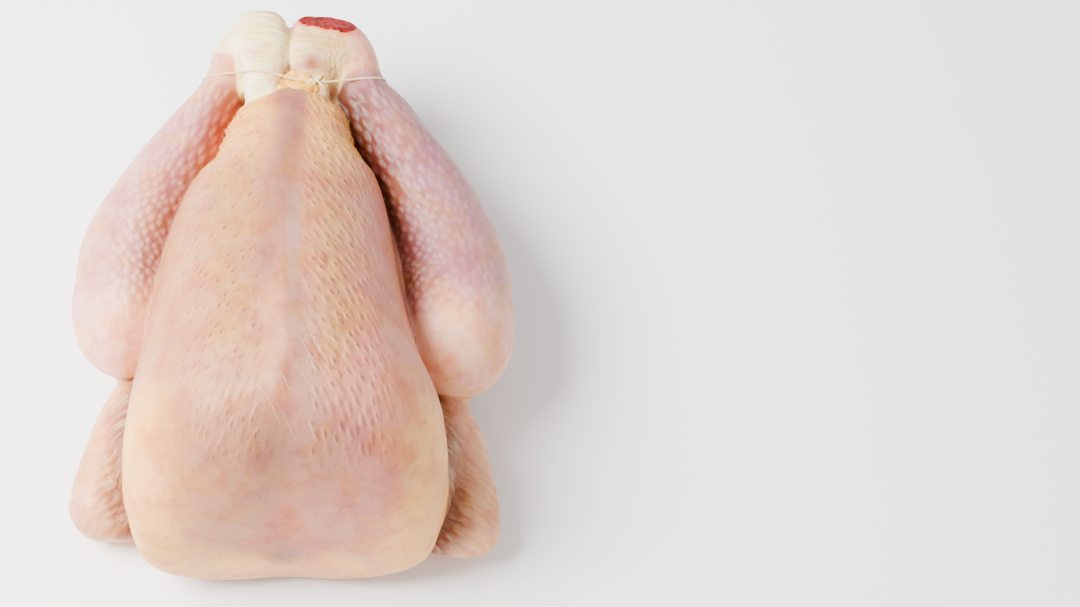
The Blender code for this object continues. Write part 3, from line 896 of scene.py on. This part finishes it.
def skin_material(settings):
    """Moist raw skin: region colours, mottling, bumps, pits, folds, rings and fine grain, with painted shade
    in their hollows and painted highlights on bump heads, pit ridges and fold crests.
    """
    material, tree, shader = new_material("raw_turkey_skin")
    place = attribute(tree, "surface", "Vector")
    share = {name: attribute(tree, name) for name in PATTERNS}
    world = tree.node("ShaderNodeTexCoord").outputs["Object"]
    patchy = tree.noise(world, 48.0, 4.0, 0.6)
    yellowish = tree.noise(tree.vector("ADD", world, (3.0, 1.0, 2.0)), 36.0, 3.0, 0.55)
    fine = tree.noise(world, 430.0, 3.0, 0.6)
    veins = tree.noise(tree.vector("MULTIPLY", world, (1.0, 0.45, 1.0)), 150.0, 4.0, 0.65)
    rise, bump_highlight, groove_shade = leg_bumps(tree, place, settings)
    drop, ridge, puff = breast_pits(tree, place, settings)
    folds = skin_folds(tree, place)
    rings = shank_rings(tree, place)
    scales = shank_scales(tree, place)
    # how each is laid, its colour, and how strongly
    washes = [
        ("MULTIPLY", (0.88, 0.66, 0.80), tree.product(tree.map(patchy, 0.44, 0.64), 0.85)),
        ("MULTIPLY", (1.0, 0.93, 0.52), tree.product(tree.map(yellowish, 0.46, 0.62), 0.8)),
        ("MULTIPLY", (0.86, 0.72, 0.66), tree.product(tree.map(veins, 0.48, 0.68), 0.6)),
        # painted shade in the grooves between the leg's bumps, and a faint painted highlight on each bump's
        # head
        ("MULTIPLY", (0.62, 0.40, 0.32), tree.product(groove_shade, share["bumps"], 0.6)),
        ("MIX", (1.0, 0.76, 0.60), tree.product(bump_highlight, share["bumps"], 0.05)),
        # dark pits: their own darker colour together with painted shade in each pit, then a faint painted
        # highlight on the ridge beside it
        ("MULTIPLY", (0.50, 0.32, 0.20), tree.product(drop, share["pits"], 0.9)),
        ("MIX", (0.95, 0.72, 0.48), tree.product(ridge, share["pits"], 0.08)),
        # painted shade in the creases of the wing and hock folds, and a painted highlight on their crests
        ("MULTIPLY", (0.62, 0.42, 0.28), tree.product(tree.map(folds, 0.55, 0.15), share["folds"], 0.75)),
        ("MIX", (1.0, 0.82, 0.62), tree.product(tree.map(folds, 0.6, 0.95), share["folds"], 0.15)),
        # painted shade in the creases between the shank's rings and between the knuckle's scales
        ("MULTIPLY", (0.86, 0.76, 0.6), tree.product(tree.map(rings, 0.4, 0.0), share["rings"], 0.35)),
        ("MULTIPLY", (0.9, 0.78, 0.66), tree.product(tree.map(scales, 0.5, 0.0), share["scales"], 0.7)),
    ]
    colour = attribute(tree, "tone", "Color")
    for blend, wash, strength in washes:
        colour = tinted(tree, colour, (*wash, 1), strength, blend)
    tree.feed(shader.inputs["Base Color"], colour)
    shader.inputs["Subsurface Weight"].default_value = 0.18
    shader.inputs["Subsurface Radius"].default_value = (1.0, 0.4, 0.25)
    shader.inputs["Subsurface Scale"].default_value = 0.003
    tree.feed(shader.inputs["Roughness"], tree.map(fine, 0.3, 0.7, settings.roughness - 0.1,
                                                   settings.roughness + 0.1))
    shader.inputs["Specular IOR Level"].default_value = 0.3
    shader.inputs["Coat Weight"].default_value = settings.moisture
    shader.inputs["Coat Roughness"].default_value = 0.3
    height = tree.total(
        tree.product(rise, share["bumps"], settings.bump_height),
        tree.product(drop, share["pits"], -0.0001),
        tree.product(ridge, share["pits"], 0.00005),
        tree.product(puff, share["pits"], 0.0008),
        tree.product(folds, share["folds"], settings.fold_height * 0.7),
        tree.product(rings, share["rings"], settings.ring_height),
        tree.product(scales, share["scales"], 0.0003),
        tree.product(fine, 0.0003), tree.product(veins, 0.0006))
    bump = tree.node("ShaderNodeBump", {"Height": height, "Strength": 0.75, "Distance": 1.0})
    tree.feed(shader.inputs["Normal"], bump.outputs[0])
    return material


def flesh_material():
    """Deep red cut flesh, with paler strands."""
    material, tree, shader = new_material("cut_red_flesh")
    world = tree.node("ShaderNodeTexCoord").outputs["Object"]
    strands = tree.noise(tree.vector("MULTIPLY", world, (0.35, 1.0, 1.0)), 900.0, 3.0, 0.6)
    patches = tree.noise(world, 240.0, 2.0, 0.5)
    colour = tinted(tree, (0.28, 0.002, 0.004, 1), (0.09, 0.001, 0.002, 1), tree.map(patches, 0.4, 0.65))
    colour = tinted(tree, colour, (0.60, 0.06, 0.05, 1), tree.product(tree.map(strands, 0.52, 0.72), 0.6))
    tree.feed(shader.inputs["Base Color"], colour)
    tree.feed(shader.inputs["Roughness"], tree.map(strands, 0.3, 0.7, 0.5, 0.7))
    shader.inputs["Specular IOR Level"].default_value = 0.1
    bump = tree.node("ShaderNodeBump", {"Height": strands, "Strength": 0.5, "Distance": 0.0006})
    tree.feed(shader.inputs["Normal"], bump.outputs[0])
    return material


def string_material(settings):
    """Undyed cotton."""
    material, tree, shader = new_material("cotton_string")
    world = tree.node("ShaderNodeTexCoord").outputs["Object"]
    fuzz = tree.noise(world, 2600.0, 3.0, 0.7)
    colour = tinted(tree, (*settings.colour, 1), (*srgb(206, 160, 104), 1), tree.map(fuzz, 0.45, 0.75))
    tree.feed(shader.inputs["Base Color"], colour)
    shader.inputs["Roughness"].default_value = 0.85
    shader.inputs["Sheen Weight"].default_value = 0.3
    bump = tree.node("ShaderNodeBump", {"Height": fuzz, "Strength": 0.4, "Distance": 0.0002})
    tree.feed(shader.inputs["Normal"], bump.outputs[0])
    return material


def fat_material():
    """Soft yellow fat at the tip of the belly flap."""
    material, tree, shader = new_material("soft_yellow_fat")
    world = tree.node("ShaderNodeTexCoord").outputs["Object"]
    patchy = tree.noise(world, 260.0, 3.0, 0.6)
    grain = tree.noise(world, 900.0, 3.0, 0.6)
    colour = tinted(tree, (*srgb(236, 176, 44), 1), (*srgb(206, 124, 30), 1), tree.map(patchy, 0.4, 0.72))
    colour = tinted(tree, colour, (*srgb(244, 200, 92), 1), tree.product(tree.map(grain, 0.5, 0.75), 0.3))
    tree.feed(shader.inputs["Base Color"], colour)
    shader.inputs["Subsurface Weight"].default_value = 0.1
    shader.inputs["Subsurface Radius"].default_value = (1.0, 0.6, 0.25)
    shader.inputs["Subsurface Scale"].default_value = 0.003
    tree.feed(shader.inputs["Roughness"], tree.map(grain, 0.3, 0.7, 0.35, 0.5))
    shader.inputs["Coat Weight"].default_value = 0.2
    bump = tree.node("ShaderNodeBump", {"Height": grain, "Strength": 0.5, "Distance": 0.0006})
    tree.feed(shader.inputs["Normal"], bump.outputs[0])
    return material


def fibre_material():
    """Pale strands of tissue and the stubs of fine hairs."""
    material, tree, shader = new_material("pale_strands")
    world = tree.node("ShaderNodeTexCoord").outputs["Object"]
    grain = tree.noise(world, 700.0, 2.0, 0.6)
    colour = tinted(tree, (*srgb(226, 184, 158), 1), (*srgb(204, 150, 122), 1), tree.map(grain, 0.4, 0.7))
    tree.feed(shader.inputs["Base Color"], colour)
    tree.feed(shader.inputs["Roughness"], tree.map(grain, 0.3, 0.7, 0.4, 0.6))
    bump = tree.node("ShaderNodeBump", {"Height": grain, "Strength": 0.3, "Distance": 0.0002})
    tree.feed(shader.inputs["Normal"], bump.outputs[0])
    return material


# ------------------------------------------------------------------ string
STRING_X = (-60.0, 72.0)         # from the station left of the left hock to the one right of the right
# x and y of the string's upper run, across the hocks from left to right
STRING_LINE = [(-60, 131.5), (-53, 132.5), (-41, 132), (-30, 132), (-22, 132), (-12, 131), (-3, 128.5),
               (6, 126), (16, 124.5), (28, 124.5), (44, 127), (58, 129.5), (70, 131)]
STRING_LEAN = 0.35               # how much the loop leans, y for each mm of height
STRING_TOP = 128.0               # height that STRING_LINE is given at
KNOT_AT = 20.0                   # x of the knot


def string_sheet(x, z):
    """y of the leaning surface that the loop of string lies in."""
    line = np.array(STRING_LINE, float)
    dip = np.interp(x, line[:, 0], line[:, 1])
    upper = np.clip((z - 100.0) / 20.0, 0.0, 1.0)
    flat = 131.5
    return flat + (dip - flat) * upper - STRING_LEAN * (z - STRING_TOP)


def outer_hull(points):
    """Corners of the convex outline of flat points, anticlockwise."""
    points = sorted(set(map(tuple, points.round(3).tolist())))
    halves = []
    for run in (points, points[::-1]):
        half = []
        for p in run:
            while len(half) > 1 and ((half[-1][0] - half[-2][0]) * (p[1] - half[-2][1])
                                     - (half[-1][1] - half[-2][1]) * (p[0] - half[-2][0])) <= 0:
                half.pop()
            half.append(p)
        halves.append(half[:-1])
    return np.array(halves[0] + halves[1])


def even_points(corners, step, closed):
    """Points at even steps along a run of corners."""
    if closed:
        corners = np.vstack([corners, corners[:1]])
    lengths = np.concatenate([[0], np.cumsum(np.linalg.norm(np.diff(corners, axis=0), axis=1))])
    count = max(4, int(round(lengths[-1] / step)))
    at = np.linspace(0, lengths[-1], count + (0 if closed else 1), endpoint=not closed)
    return np.column_stack([np.interp(at, lengths, corners[:, axis]) for axis in range(corners.shape[1])])


def rounded(points, times, closed):
    """The same points with their corners eased."""
    for _ in range(times):
        if closed:
            points = (np.roll(points, 1, 0) + 2 * points + np.roll(points, -1, 0)) / 4
        else:
            points[1:-1] = (points[:-2] + 2 * points[1:-1] + points[2:]) / 4
    return points


def string_loop(field, body, radius):
    """Points of the taut loop, in station mm, and the outward direction at each."""
    x, z = np.meshgrid(np.arange(STRING_X[0], STRING_X[1], 0.5), np.arange(60.0, 145.0, 0.5), indexing="ij")
    x, z = x.ravel(), z.ravel()
    inside = field.sample(body, np.column_stack([x, string_sheet(x, z), z]) - BIRD_CENTRE) < 0
    hull = outer_hull(np.column_stack([x[inside], z[inside]]))
    flat = rounded(even_points(hull, 0.7, True), 6, True)
    along = np.roll(flat, -1, 0) - np.roll(flat, 1, 0)
    out = np.column_stack([along[:, 1], -along[:, 0]])
    out /= np.linalg.norm(out, axis=1)[:, None]
    flat = flat + out * (radius * 0.4)
    points = np.column_stack([flat[:, 0], string_sheet(flat[:, 0], flat[:, 1]), flat[:, 1]])
    return points, np.column_stack([out[:, 0], np.zeros(len(out)), out[:, 1]])


def knot_paths(centre):
    """The granny knot's own turns, two small loops and two cut ends, round the loop's string."""
    turns = np.linspace(0, 2 * math.pi, 72, endpoint=False)
    knot = np.column_stack([2.3 * np.sin(turns) + 1.1 * np.sin(2 * turns),
                            1.7 * np.cos(turns) - 0.9 * np.cos(2 * turns),
                            0.8 + 0.9 * np.sin(3 * turns)])
    paths = [(knot, True)]
    bend = np.linspace(0, math.pi, 28)
    for turn, size, rise in ((2.75, 4.6, 0.6), (0.35, 5.4, 0.9)):
        across = np.sin(bend) * size * 0.42 * np.sin(bend / 1.2)
        loop = np.column_stack([np.sin(bend) * size, across - 0.8 * np.cos(bend), rise + 0.8 * np.sin(bend)])
        spin = np.array(((math.cos(turn), -math.sin(turn)), (math.sin(turn), math.cos(turn))))
        loop[:, :2] = loop[:, :2] @ spin.T
        paths.append((loop, False))
    reach = np.linspace(0, 1, 14)
    for turn, length in ((-0.55, 8.0), (3.5, 6.0)):
        end = np.column_stack([reach * length * math.cos(turn),
                               reach * length * math.sin(turn) + 0.8 * np.sin(5 * reach),
                               0.9 - 0.5 * reach + 0.5 * np.sin(3.1 * reach)])
        paths.append((end, False))
    return [(centre + path, closed) for path, closed in paths]


def string_tree(settings):
    """Geometry Nodes: strands twisted round each other along every curve."""
    group = bpy.data.node_groups.new("Twisted string", "GeometryNodeTree")
    face = group.interface
    face.new_socket("Geometry", in_out="INPUT", socket_type="NodeSocketGeometry")
    face.new_socket("Radius", in_out="INPUT", socket_type="NodeSocketFloat").default_value = settings.radius
    face.new_socket("Pitch", in_out="INPUT", socket_type="NodeSocketFloat").default_value = settings.pitch
    face.new_socket("Material", in_out="INPUT", socket_type="NodeSocketMaterial")
    face.new_socket("Geometry", in_out="OUTPUT", socket_type="NodeSocketGeometry")
    tree = Tree(group)
    given = group.nodes.new("NodeGroupInput").outputs
    curve = tree.node("GeometryNodeMeshToCurve", {"Mesh": given["Geometry"]}).outputs[0]
    reader = tree.node("GeometryNodeInputNamedAttribute", {"Name": "outward"}, data_type="FLOAT_VECTOR")
    outward = reader.outputs[0]
    tangent = group.nodes.new("GeometryNodeInputTangent").outputs[0]
    sideways = tree.vector("CROSS_PRODUCT", tangent, outward)
    spline = group.nodes.new("GeometryNodeSplineParameter").outputs
    length = group.nodes.new("GeometryNodeSplineLength").outputs[0]
    twists = tree.math("ROUND", tree.math("DIVIDE", length, given["Pitch"]))
    angle = tree.product(spline["Factor"], twists, 2 * math.pi)
    profile = tree.node("GeometryNodeCurvePrimitiveCircle", {"Resolution": 6, "Radius": 1.0}).outputs[0]
    thin = tree.math("MULTIPLY", given["Radius"], 0.54)
    offset = tree.math("MULTIPLY", given["Radius"], 0.52)
    shaped = tree.node("GeometryNodeTransform", {"Geometry": profile,
                                                 "Scale": tree.node("ShaderNodeCombineXYZ", {
                                                     "X": thin, "Y": thin, "Z": 1.0}).outputs[0]}).outputs[0]
    join = group.nodes.new("GeometryNodeJoinGeometry")
    for strand in range(settings.strands):
        turn = tree.math("ADD", angle, 2 * math.pi * strand / settings.strands)
        rise = tree.product(tree.math("COSINE", turn), offset)
        shift = tree.product(tree.math("SINE", turn), offset)
        push = tree.vector("ADD", tree.vector("SCALE", outward, scale=rise),
                           tree.vector("SCALE", sideways, scale=shift))
        moved = tree.node("GeometryNodeSetPosition", {"Geometry": curve, "Offset": push})
        tube = tree.node("GeometryNodeCurveToMesh", {"Curve": moved.outputs[0], "Profile Curve": shaped,
                                                     "Fill Caps": True})
        group.links.new(tube.outputs[0], join.inputs[0])
    smooth = tree.node("GeometryNodeSetShadeSmooth", {"Geometry": join.outputs[0]})
    finish_tree(tree, smooth.outputs[0], given["Material"])
    return group


# ------------------------------------------------------------------ fine strands
# x and y of each strand's two ends, and how far it bows sideways, in station mm
KEEL_STRANDS = [
    (-17, -106, 8, -152, 2.5), (-13, -120, -4, -136, 1.0), (-22, -128, -2, -158, 1.5),
    (4, -131, 20, -158, 2.0),
    (13, -88, 25, -118, -1.5), (16, -96, 22, -112, 1.0), (9, -100, 24, -134, -1.0), (18, -104, 30, -130, 1.5),
    (6, -122, 22, -150, 1.2), (11, -112, 28, -146, -1.2), (-8, -142, 8, -166, 1.0), (20, -120, 30, -140, 0.8),
    (-19, -117, -8, -134, 0.8), (-26, -118, -14, -138, 1.0),
]
KNEE_FLECKS = [
    (-92, -24, -90, -28, 0.2), (-87, -20, -88, -24, 0.2), (-101, -49, -96, -52, 0.3),
    (-93, -46, -90, -49, 0.3),
    (104, -62, 101, -66, 0.3), (113, -71, 110, -74, 0.3), (96, -52, 94, -56, 0.3), (124, -64, 121, -67, 0.3),
    (100, -14, 104, -20, 0.4), (108, -30, 112, -38, 0.5), (96, -38, 100, -46, 0.4), (118, -12, 122, -18, 0.4),
    (79, -26, 84, -36, 1.2),
]


def strand_tree():
    """Geometry Nodes: thin strands, tapered at both ends."""
    group = bpy.data.node_groups.new("Fine strands", "GeometryNodeTree")
    face = group.interface
    face.new_socket("Geometry", in_out="INPUT", socket_type="NodeSocketGeometry")
    face.new_socket("Thickness", in_out="INPUT", socket_type="NodeSocketFloat").default_value = 0.00014
    face.new_socket("Material", in_out="INPUT", socket_type="NodeSocketMaterial")
    face.new_socket("Geometry", in_out="OUTPUT", socket_type="NodeSocketGeometry")
    tree = Tree(group)
    given = group.nodes.new("NodeGroupInput").outputs
    curve = tree.node("GeometryNodeMeshToCurve", {"Mesh": given["Geometry"]}).outputs[0]
    factor = group.nodes.new("GeometryNodeSplineParameter").outputs["Factor"]
    taper = tree.math("SINE", tree.math("MULTIPLY_ADD", factor, 2.7, 0.22))
    profile = tree.node("GeometryNodeCurvePrimitiveCircle", {"Resolution": 6, "Radius": 1.0}).outputs[0]
    tube = tree.node("GeometryNodeCurveToMesh", {"Curve": curve, "Profile Curve": profile, "Fill Caps": True,
                                                 "Scale": tree.product(taper, given["Thickness"])})
    smooth = tree.node("GeometryNodeSetShadeSmooth", {"Geometry": tube.outputs[0]})
    finish_tree(tree, smooth.outputs[0], given["Material"])
    return group


def chained(paths):
    """Joined points and edges of several runs of points."""
    points, edges, start = [], [], 0
    for path, closed in paths:
        count = len(path)
        index = np.arange(count)
        pairs = np.column_stack([index, (index + 1) % count]) + start
        edges.append(pairs if closed else pairs[:-1])
        points.append(path)
        start += count
    return np.vstack(points), np.vstack(edges)


# ------------------------------------------------------------------ operators
FORM = {}     # the bird's field, shared by the operators that lay things on the skin


def bird_form(settings):
    """The bird's grid, whole field and regions, worked out once."""
    if not FORM:
        field = Field(settings.cell)
        body, regions = bird_fields(field)
        FORM.update(field=field, body=body, regions=regions)
    return FORM["field"], FORM["body"], FORM["regions"]


HIDDEN_LEVELS = 8      # steps from the top's weight to the underside's
HIDDEN_FACTOR = 3.0    # how much sooner the underside's triangles are merged


class MakeSkin(bpy.types.Operator):
    """Mesh the bird's skin, paint its regions and raise its feather bumps"""

    bl_idname = "turkey.make_skin"
    bl_label = "Make Skin"

    def execute(self, context):
        settings = context.scene.turkey_skin
        field, body, regions = bird_form(settings)
        points, quads = field.surface(body)
        for _ in range(2):
            points = points - field.slope(body, points) * field.sample(body, points)[:, None]
        points[:, 2] = np.maximum(points[:, 2], 0.0)
        normals = field.slope(body, points)
        near = distances(field, regions, points)
        tabled = points + BIRD_CENTRE
        place, strength = skin_places(tabled, near)
        skin = mesh_object("skin", points, quads)
        mesh = skin.data
        add_values(mesh, "surface", np.column_stack([place, np.zeros(len(place))]) * MM)
        for name in PATTERNS:
            add_values(mesh, name, strength[name])
        add_colours(mesh, "tone", paint(tabled, near, strength["flesh"]))
        material = skin_material(settings)
        mesh.materials.append(material)
        relief = skin.modifiers.new("relief", "NODES")
        relief.node_group = relief_tree(settings)
        set_input(relief, "Material", material)
        settle(skin)
        hidden = skin.vertex_groups.new(name="hidden")
        showing = ramp(normals[:, 2] - 0.25 * normals[:, 1], -0.2, 0.25)
        for level in range(HIDDEN_LEVELS + 1):
            chosen = np.nonzero(np.round((1 - showing) * HIDDEN_LEVELS) == level)[0]
            hidden.add(chosen.tolist(), level / HIDDEN_LEVELS, "REPLACE")
        count = sum(len(p.vertices) - 2 for p in skin.data.polygons)
        thin = skin.modifiers.new("thin", "DECIMATE")
        thin.ratio = min(1.0, settings.face_limit / count)
        thin.vertex_group = "hidden"
        thin.vertex_group_factor = HIDDEN_FACTOR
        settle(skin)
        skin.vertex_groups.clear()
        flesh = np.empty(len(skin.data.vertices), np.float32)
        skin.data.attributes["flesh"].data.foreach_get("value", flesh)
        skin.data.materials.append(flesh_material())
        for face in skin.data.polygons:
            face.material_index = int(flesh[list(face.vertices)].mean() > 0.5)
        rest_on_table(skin)
        skin.data.shade_smooth()
        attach(skin, "root")
        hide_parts("turkey")
        return {"FINISHED"}


class MakeString(bpy.types.Operator):
    """Twist the string that ties the hocks, with its knot"""

    bl_idname = "turkey.make_string"
    bl_label = "Make String"

    def execute(self, context):
        settings = context.scene.turkey_string
        field, body, _ = bird_form(context.scene.turkey_skin)
        loop, outward = string_loop(field, body, settings.radius / MM)
        top = np.nonzero(loop[:, 2] > 110)[0]
        centre = loop[top[np.argmin(np.abs(loop[top, 0] - KNOT_AT))]]
        paths = [(loop, True)] + knot_paths(centre)
        points, edges = chained(paths)
        away = np.tile((0.0, 0.0, 1.0), (len(points), 1))
        away[:len(outward)] = outward
        cord = mesh_object("string", points - BIRD_CENTRE, [], edges)
        add_values(cord.data, "outward", away)
        twist = cord.modifiers.new("twist", "NODES")
        twist.node_group = string_tree(settings)
        set_input(twist, "Material", string_material(settings))
        settle(cord)
        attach(cord, "root")
        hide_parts("tying_string")
        return {"FINISHED"}


FAT_SEED = 5
FAT_LEVEL = 122.0     # lumps over a hollow lie no lower than this
FAT_FROM, FAT_TO = np.array((-12.0, 116.0, 110.0)), np.array((30.0, 152.0, 145.0))
# x, y and radius of each lump
FAT_LUMPS = [
    (0, 126, 4.2), (3, 131, 4.2), (7, 134, 4.2), (9, 129, 5.0), (4, 124, 4.6), (12, 124, 4.8), (14, 128, 4.2),
    (18, 123.5, 3.8), (20, 120.5, 3.2), (9, 120, 4.6), (-2, 121, 3.8), (15, 119, 4.0),
]
FAT_STEP = 0.55       # mm between the grid's points
FAT_MELT = 1.6        # how widely the lumps run together


def skin_height(field, body, x, y, top=200.0):
    """Height of the skin over a station."""
    z = np.arange(top, 20.0, -0.25)
    column = np.column_stack([np.full_like(z, x), np.full_like(z, y), z])
    inside = np.nonzero(field.sample(body, column - BIRD_CENTRE) < 0)[0]
    return z[inside[0]] if len(inside) else 0.0


class MakeFat(bpy.types.Operator):
    """Lay the lumps of yellow fat over the string at the belly flap's tip"""

    bl_idname = "turkey.make_fat"
    bl_label = "Make Fat"

    def execute(self, context):
        field, body, _ = bird_form(context.scene.turkey_skin)
        draws = np.random.default_rng(FAT_SEED)
        axes = [np.arange(a, b, FAT_STEP) for a, b in zip(FAT_FROM, FAT_TO)]
        grid = np.stack(np.meshgrid(*axes, indexing="ij"), -1)
        flat = grid.reshape(-1, 3)
        total = np.full(len(flat), 9.0)
        for x, y, radius in FAT_LUMPS:
            height = max(skin_height(field, body, x, y), FAT_LEVEL)
            lump = np.array((x, y, height + 0.15 * radius))
            sizes = radius * draws.uniform(0.85, 1.15, 3) * (1.0, 1.0, 0.62)
            reach = np.linalg.norm((flat - lump) / sizes, axis=1)
            total = melt(total, (reach - 1.0) * radius * 0.8, FAT_MELT)
        wave = np.sin(flat[:, 0] * 2.1 + flat[:, 2]) * np.sin(flat[:, 1] * 2.4 + 0.7) * 0.22
        total = (total + wave).reshape(grid.shape[:3])
        level = openvdb.FloatGrid(9.0)
        level.copyFromArray(np.ascontiguousarray(total, dtype=np.float32), ijk=(0, 0, 0))
        points, _, quads = level.convertToPolygons(isovalue=0.0, adaptivity=0.0)
        points = points * FAT_STEP + FAT_FROM - BIRD_CENTRE
        fat = mesh_object("fat_tip", points, quads.astype(np.int64))
        fat.data.materials.append(fat_material())
        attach(fat, "root")
        return {"FINISHED"}


class MakeStrands(bpy.types.Operator):
    """Lay the fine pale strands over the keel and the knees"""

    bl_idname = "turkey.make_strands"
    bl_label = "Make Strands"

    def execute(self, context):
        field, body, _ = bird_form(context.scene.turkey_skin)
        paths = []
        for x0, y0, x1, y1, bow in KEEL_STRANDS + KNEE_FLECKS:
            length = math.hypot(x1 - x0, y1 - y0)
            t = np.linspace(0, 1, max(6, int(length / 1.5)))
            side = np.sin(math.pi * t) * bow
            x = x0 + (x1 - x0) * t - side * (y1 - y0) / length
            y = y0 + (y1 - y0) * t + side * (x1 - x0) / length
            z = np.array([skin_height(field, body, a, b) for a, b in zip(x, y)])
            paths.append((rounded(np.column_stack([x, y, z + 0.12]), 2, False), False))
        points, edges = chained(paths)
        strands = mesh_object("fine_strands", points - BIRD_CENTRE, [], edges)
        material = fibre_material()
        grow = strands.modifiers.new("grow", "NODES")
        grow.node_group = strand_tree()
        set_input(grow, "Material", material)
        settle(strands)
        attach(strands, "root")
        return {"FINISHED"}


# ------------------------------------------------------------------ stage
SENSOR, CAMERA_LENS = 36.0, 87.7        # both in mm
AIM = (-6.2, 28.75, 0.0)                # a point of the table under the bird's middle, in mm
FRAME_COLUMNS = 1080                    # the frame's width, which the next two are counted in
FRAME_MIDDLE, AIM_AT = (540, 303.5), (285, 297)
AIM_RIGHT = SENSOR * (FRAME_MIDDLE[0] - AIM_AT[0]) / FRAME_COLUMNS    # from the aim to the middle, mm
AIM_UP = SENSOR * (AIM_AT[1] - FRAME_MIDDLE[1]) / FRAME_COLUMNS
FLOOR_SIZE = 12.0                       # m
KEY_DISTANCE, KEY_SIZE = 1.7, 1.1       # m


class MakeStage(bpy.types.Operator):
    """Add the floor, the soft lights and the camera"""

    bl_idname = "turkey.make_stage"
    bl_label = "Make Stage"

    def execute(self, context):
        settings = context.scene.turkey_stage
        bpy.ops.mesh.primitive_plane_add(size=FLOOR_SIZE, location=(0, 0, 0))
        floor = context.active_object
        floor.name = "floor"
        material, _, shader = new_material("pale_floor")
        shader.inputs["Base Color"].default_value = (*settings.floor, 1)
        shader.inputs["Roughness"].default_value = 0.9
        floor.data.materials.append(material)
        world = bpy.data.worlds.new("studio")
        context.scene.world = world
        world.use_nodes = True
        sky = world.node_tree.nodes["Background"]
        sky.inputs["Color"].default_value = (1, 1, 1, 1)
        sky.inputs["Strength"].default_value = settings.sky
        self.lamp("key", Vector(settings.key_from).normalized() * KEY_DISTANCE, KEY_SIZE, settings.key)
        camera = bpy.data.cameras.new("camera")
        camera.sensor_width = SENSOR
        camera.lens = CAMERA_LENS
        holder = bpy.data.objects.new("camera", camera)
        context.scene.collection.objects.link(holder)
        back = Vector((0, -math.cos(settings.camera_height), math.sin(settings.camera_height)))
        holder.location = Vector(AIM) * MM + back * settings.camera_distance
        look = (-back).to_track_quat("-Z", "Y")
        turn = Quaternion((0, 1, 0), -math.atan(AIM_RIGHT / camera.lens))
        tilt = Quaternion((1, 0, 0), math.atan(AIM_UP / camera.lens))
        holder.rotation_mode = "QUATERNION"
        holder.rotation_quaternion = look @ turn @ tilt
        context.scene.camera = holder
        return {"FINISHED"}

    @staticmethod
    def lamp(name, place, size, power):
        light = bpy.data.lights.new(name, "AREA")
        light.shape = "DISK"
        light.size = size
        light.energy = power
        holder = bpy.data.objects.new(name, light)
        holder.location = place
        holder.rotation_mode = "QUATERNION"
        holder.rotation_quaternion = (-Vector(place)).to_track_quat("-Z", "Y")
        bpy.context.scene.collection.objects.link(holder)


class TurkeyPanel(bpy.types.Panel):
    """Lists the bird's operators and settings"""

    bl_idname = "VIEW3D_PT_turkey"
    bl_label = "Whole Raw Turkey"
    bl_space_type = "VIEW_3D"
    bl_region_type = "UI"
    bl_category = "Turkey"

    def draw(self, context):
        layout = self.layout
        for operator in OPERATORS:
            layout.operator(operator.bl_idname)
        for group in (context.scene.turkey_skin, context.scene.turkey_string, context.scene.turkey_stage):
            box = layout.box()
            for name in group.__annotations__:
                box.prop(group, name)


OPERATORS = (MakeSkin, MakeString, MakeFat, MakeStrands, MakeStage)
CLASSES = (SkinSettings, StringSettings, StageSettings, *OPERATORS, TurkeyPanel)


def register():
    for item in CLASSES:
        bpy.utils.register_class(item)
    bpy.types.Scene.turkey_skin = PointerProperty(type=SkinSettings)
    bpy.types.Scene.turkey_string = PointerProperty(type=StringSettings)
    bpy.types.Scene.turkey_stage = PointerProperty(type=StageSettings)


def unregister():
    del bpy.types.Scene.turkey_skin
    del bpy.types.Scene.turkey_string
    del bpy.types.Scene.turkey_stage
    for item in reversed(CLASSES):
        bpy.utils.unregister_class(item)


def main():
    register()
    bpy.ops.turkey.make_skin()
    bpy.ops.turkey.make_string()
    bpy.ops.turkey.make_fat()
    bpy.ops.turkey.make_strands()
    bpy.ops.turkey.make_stage()


if __name__ == "__main__":
    main()
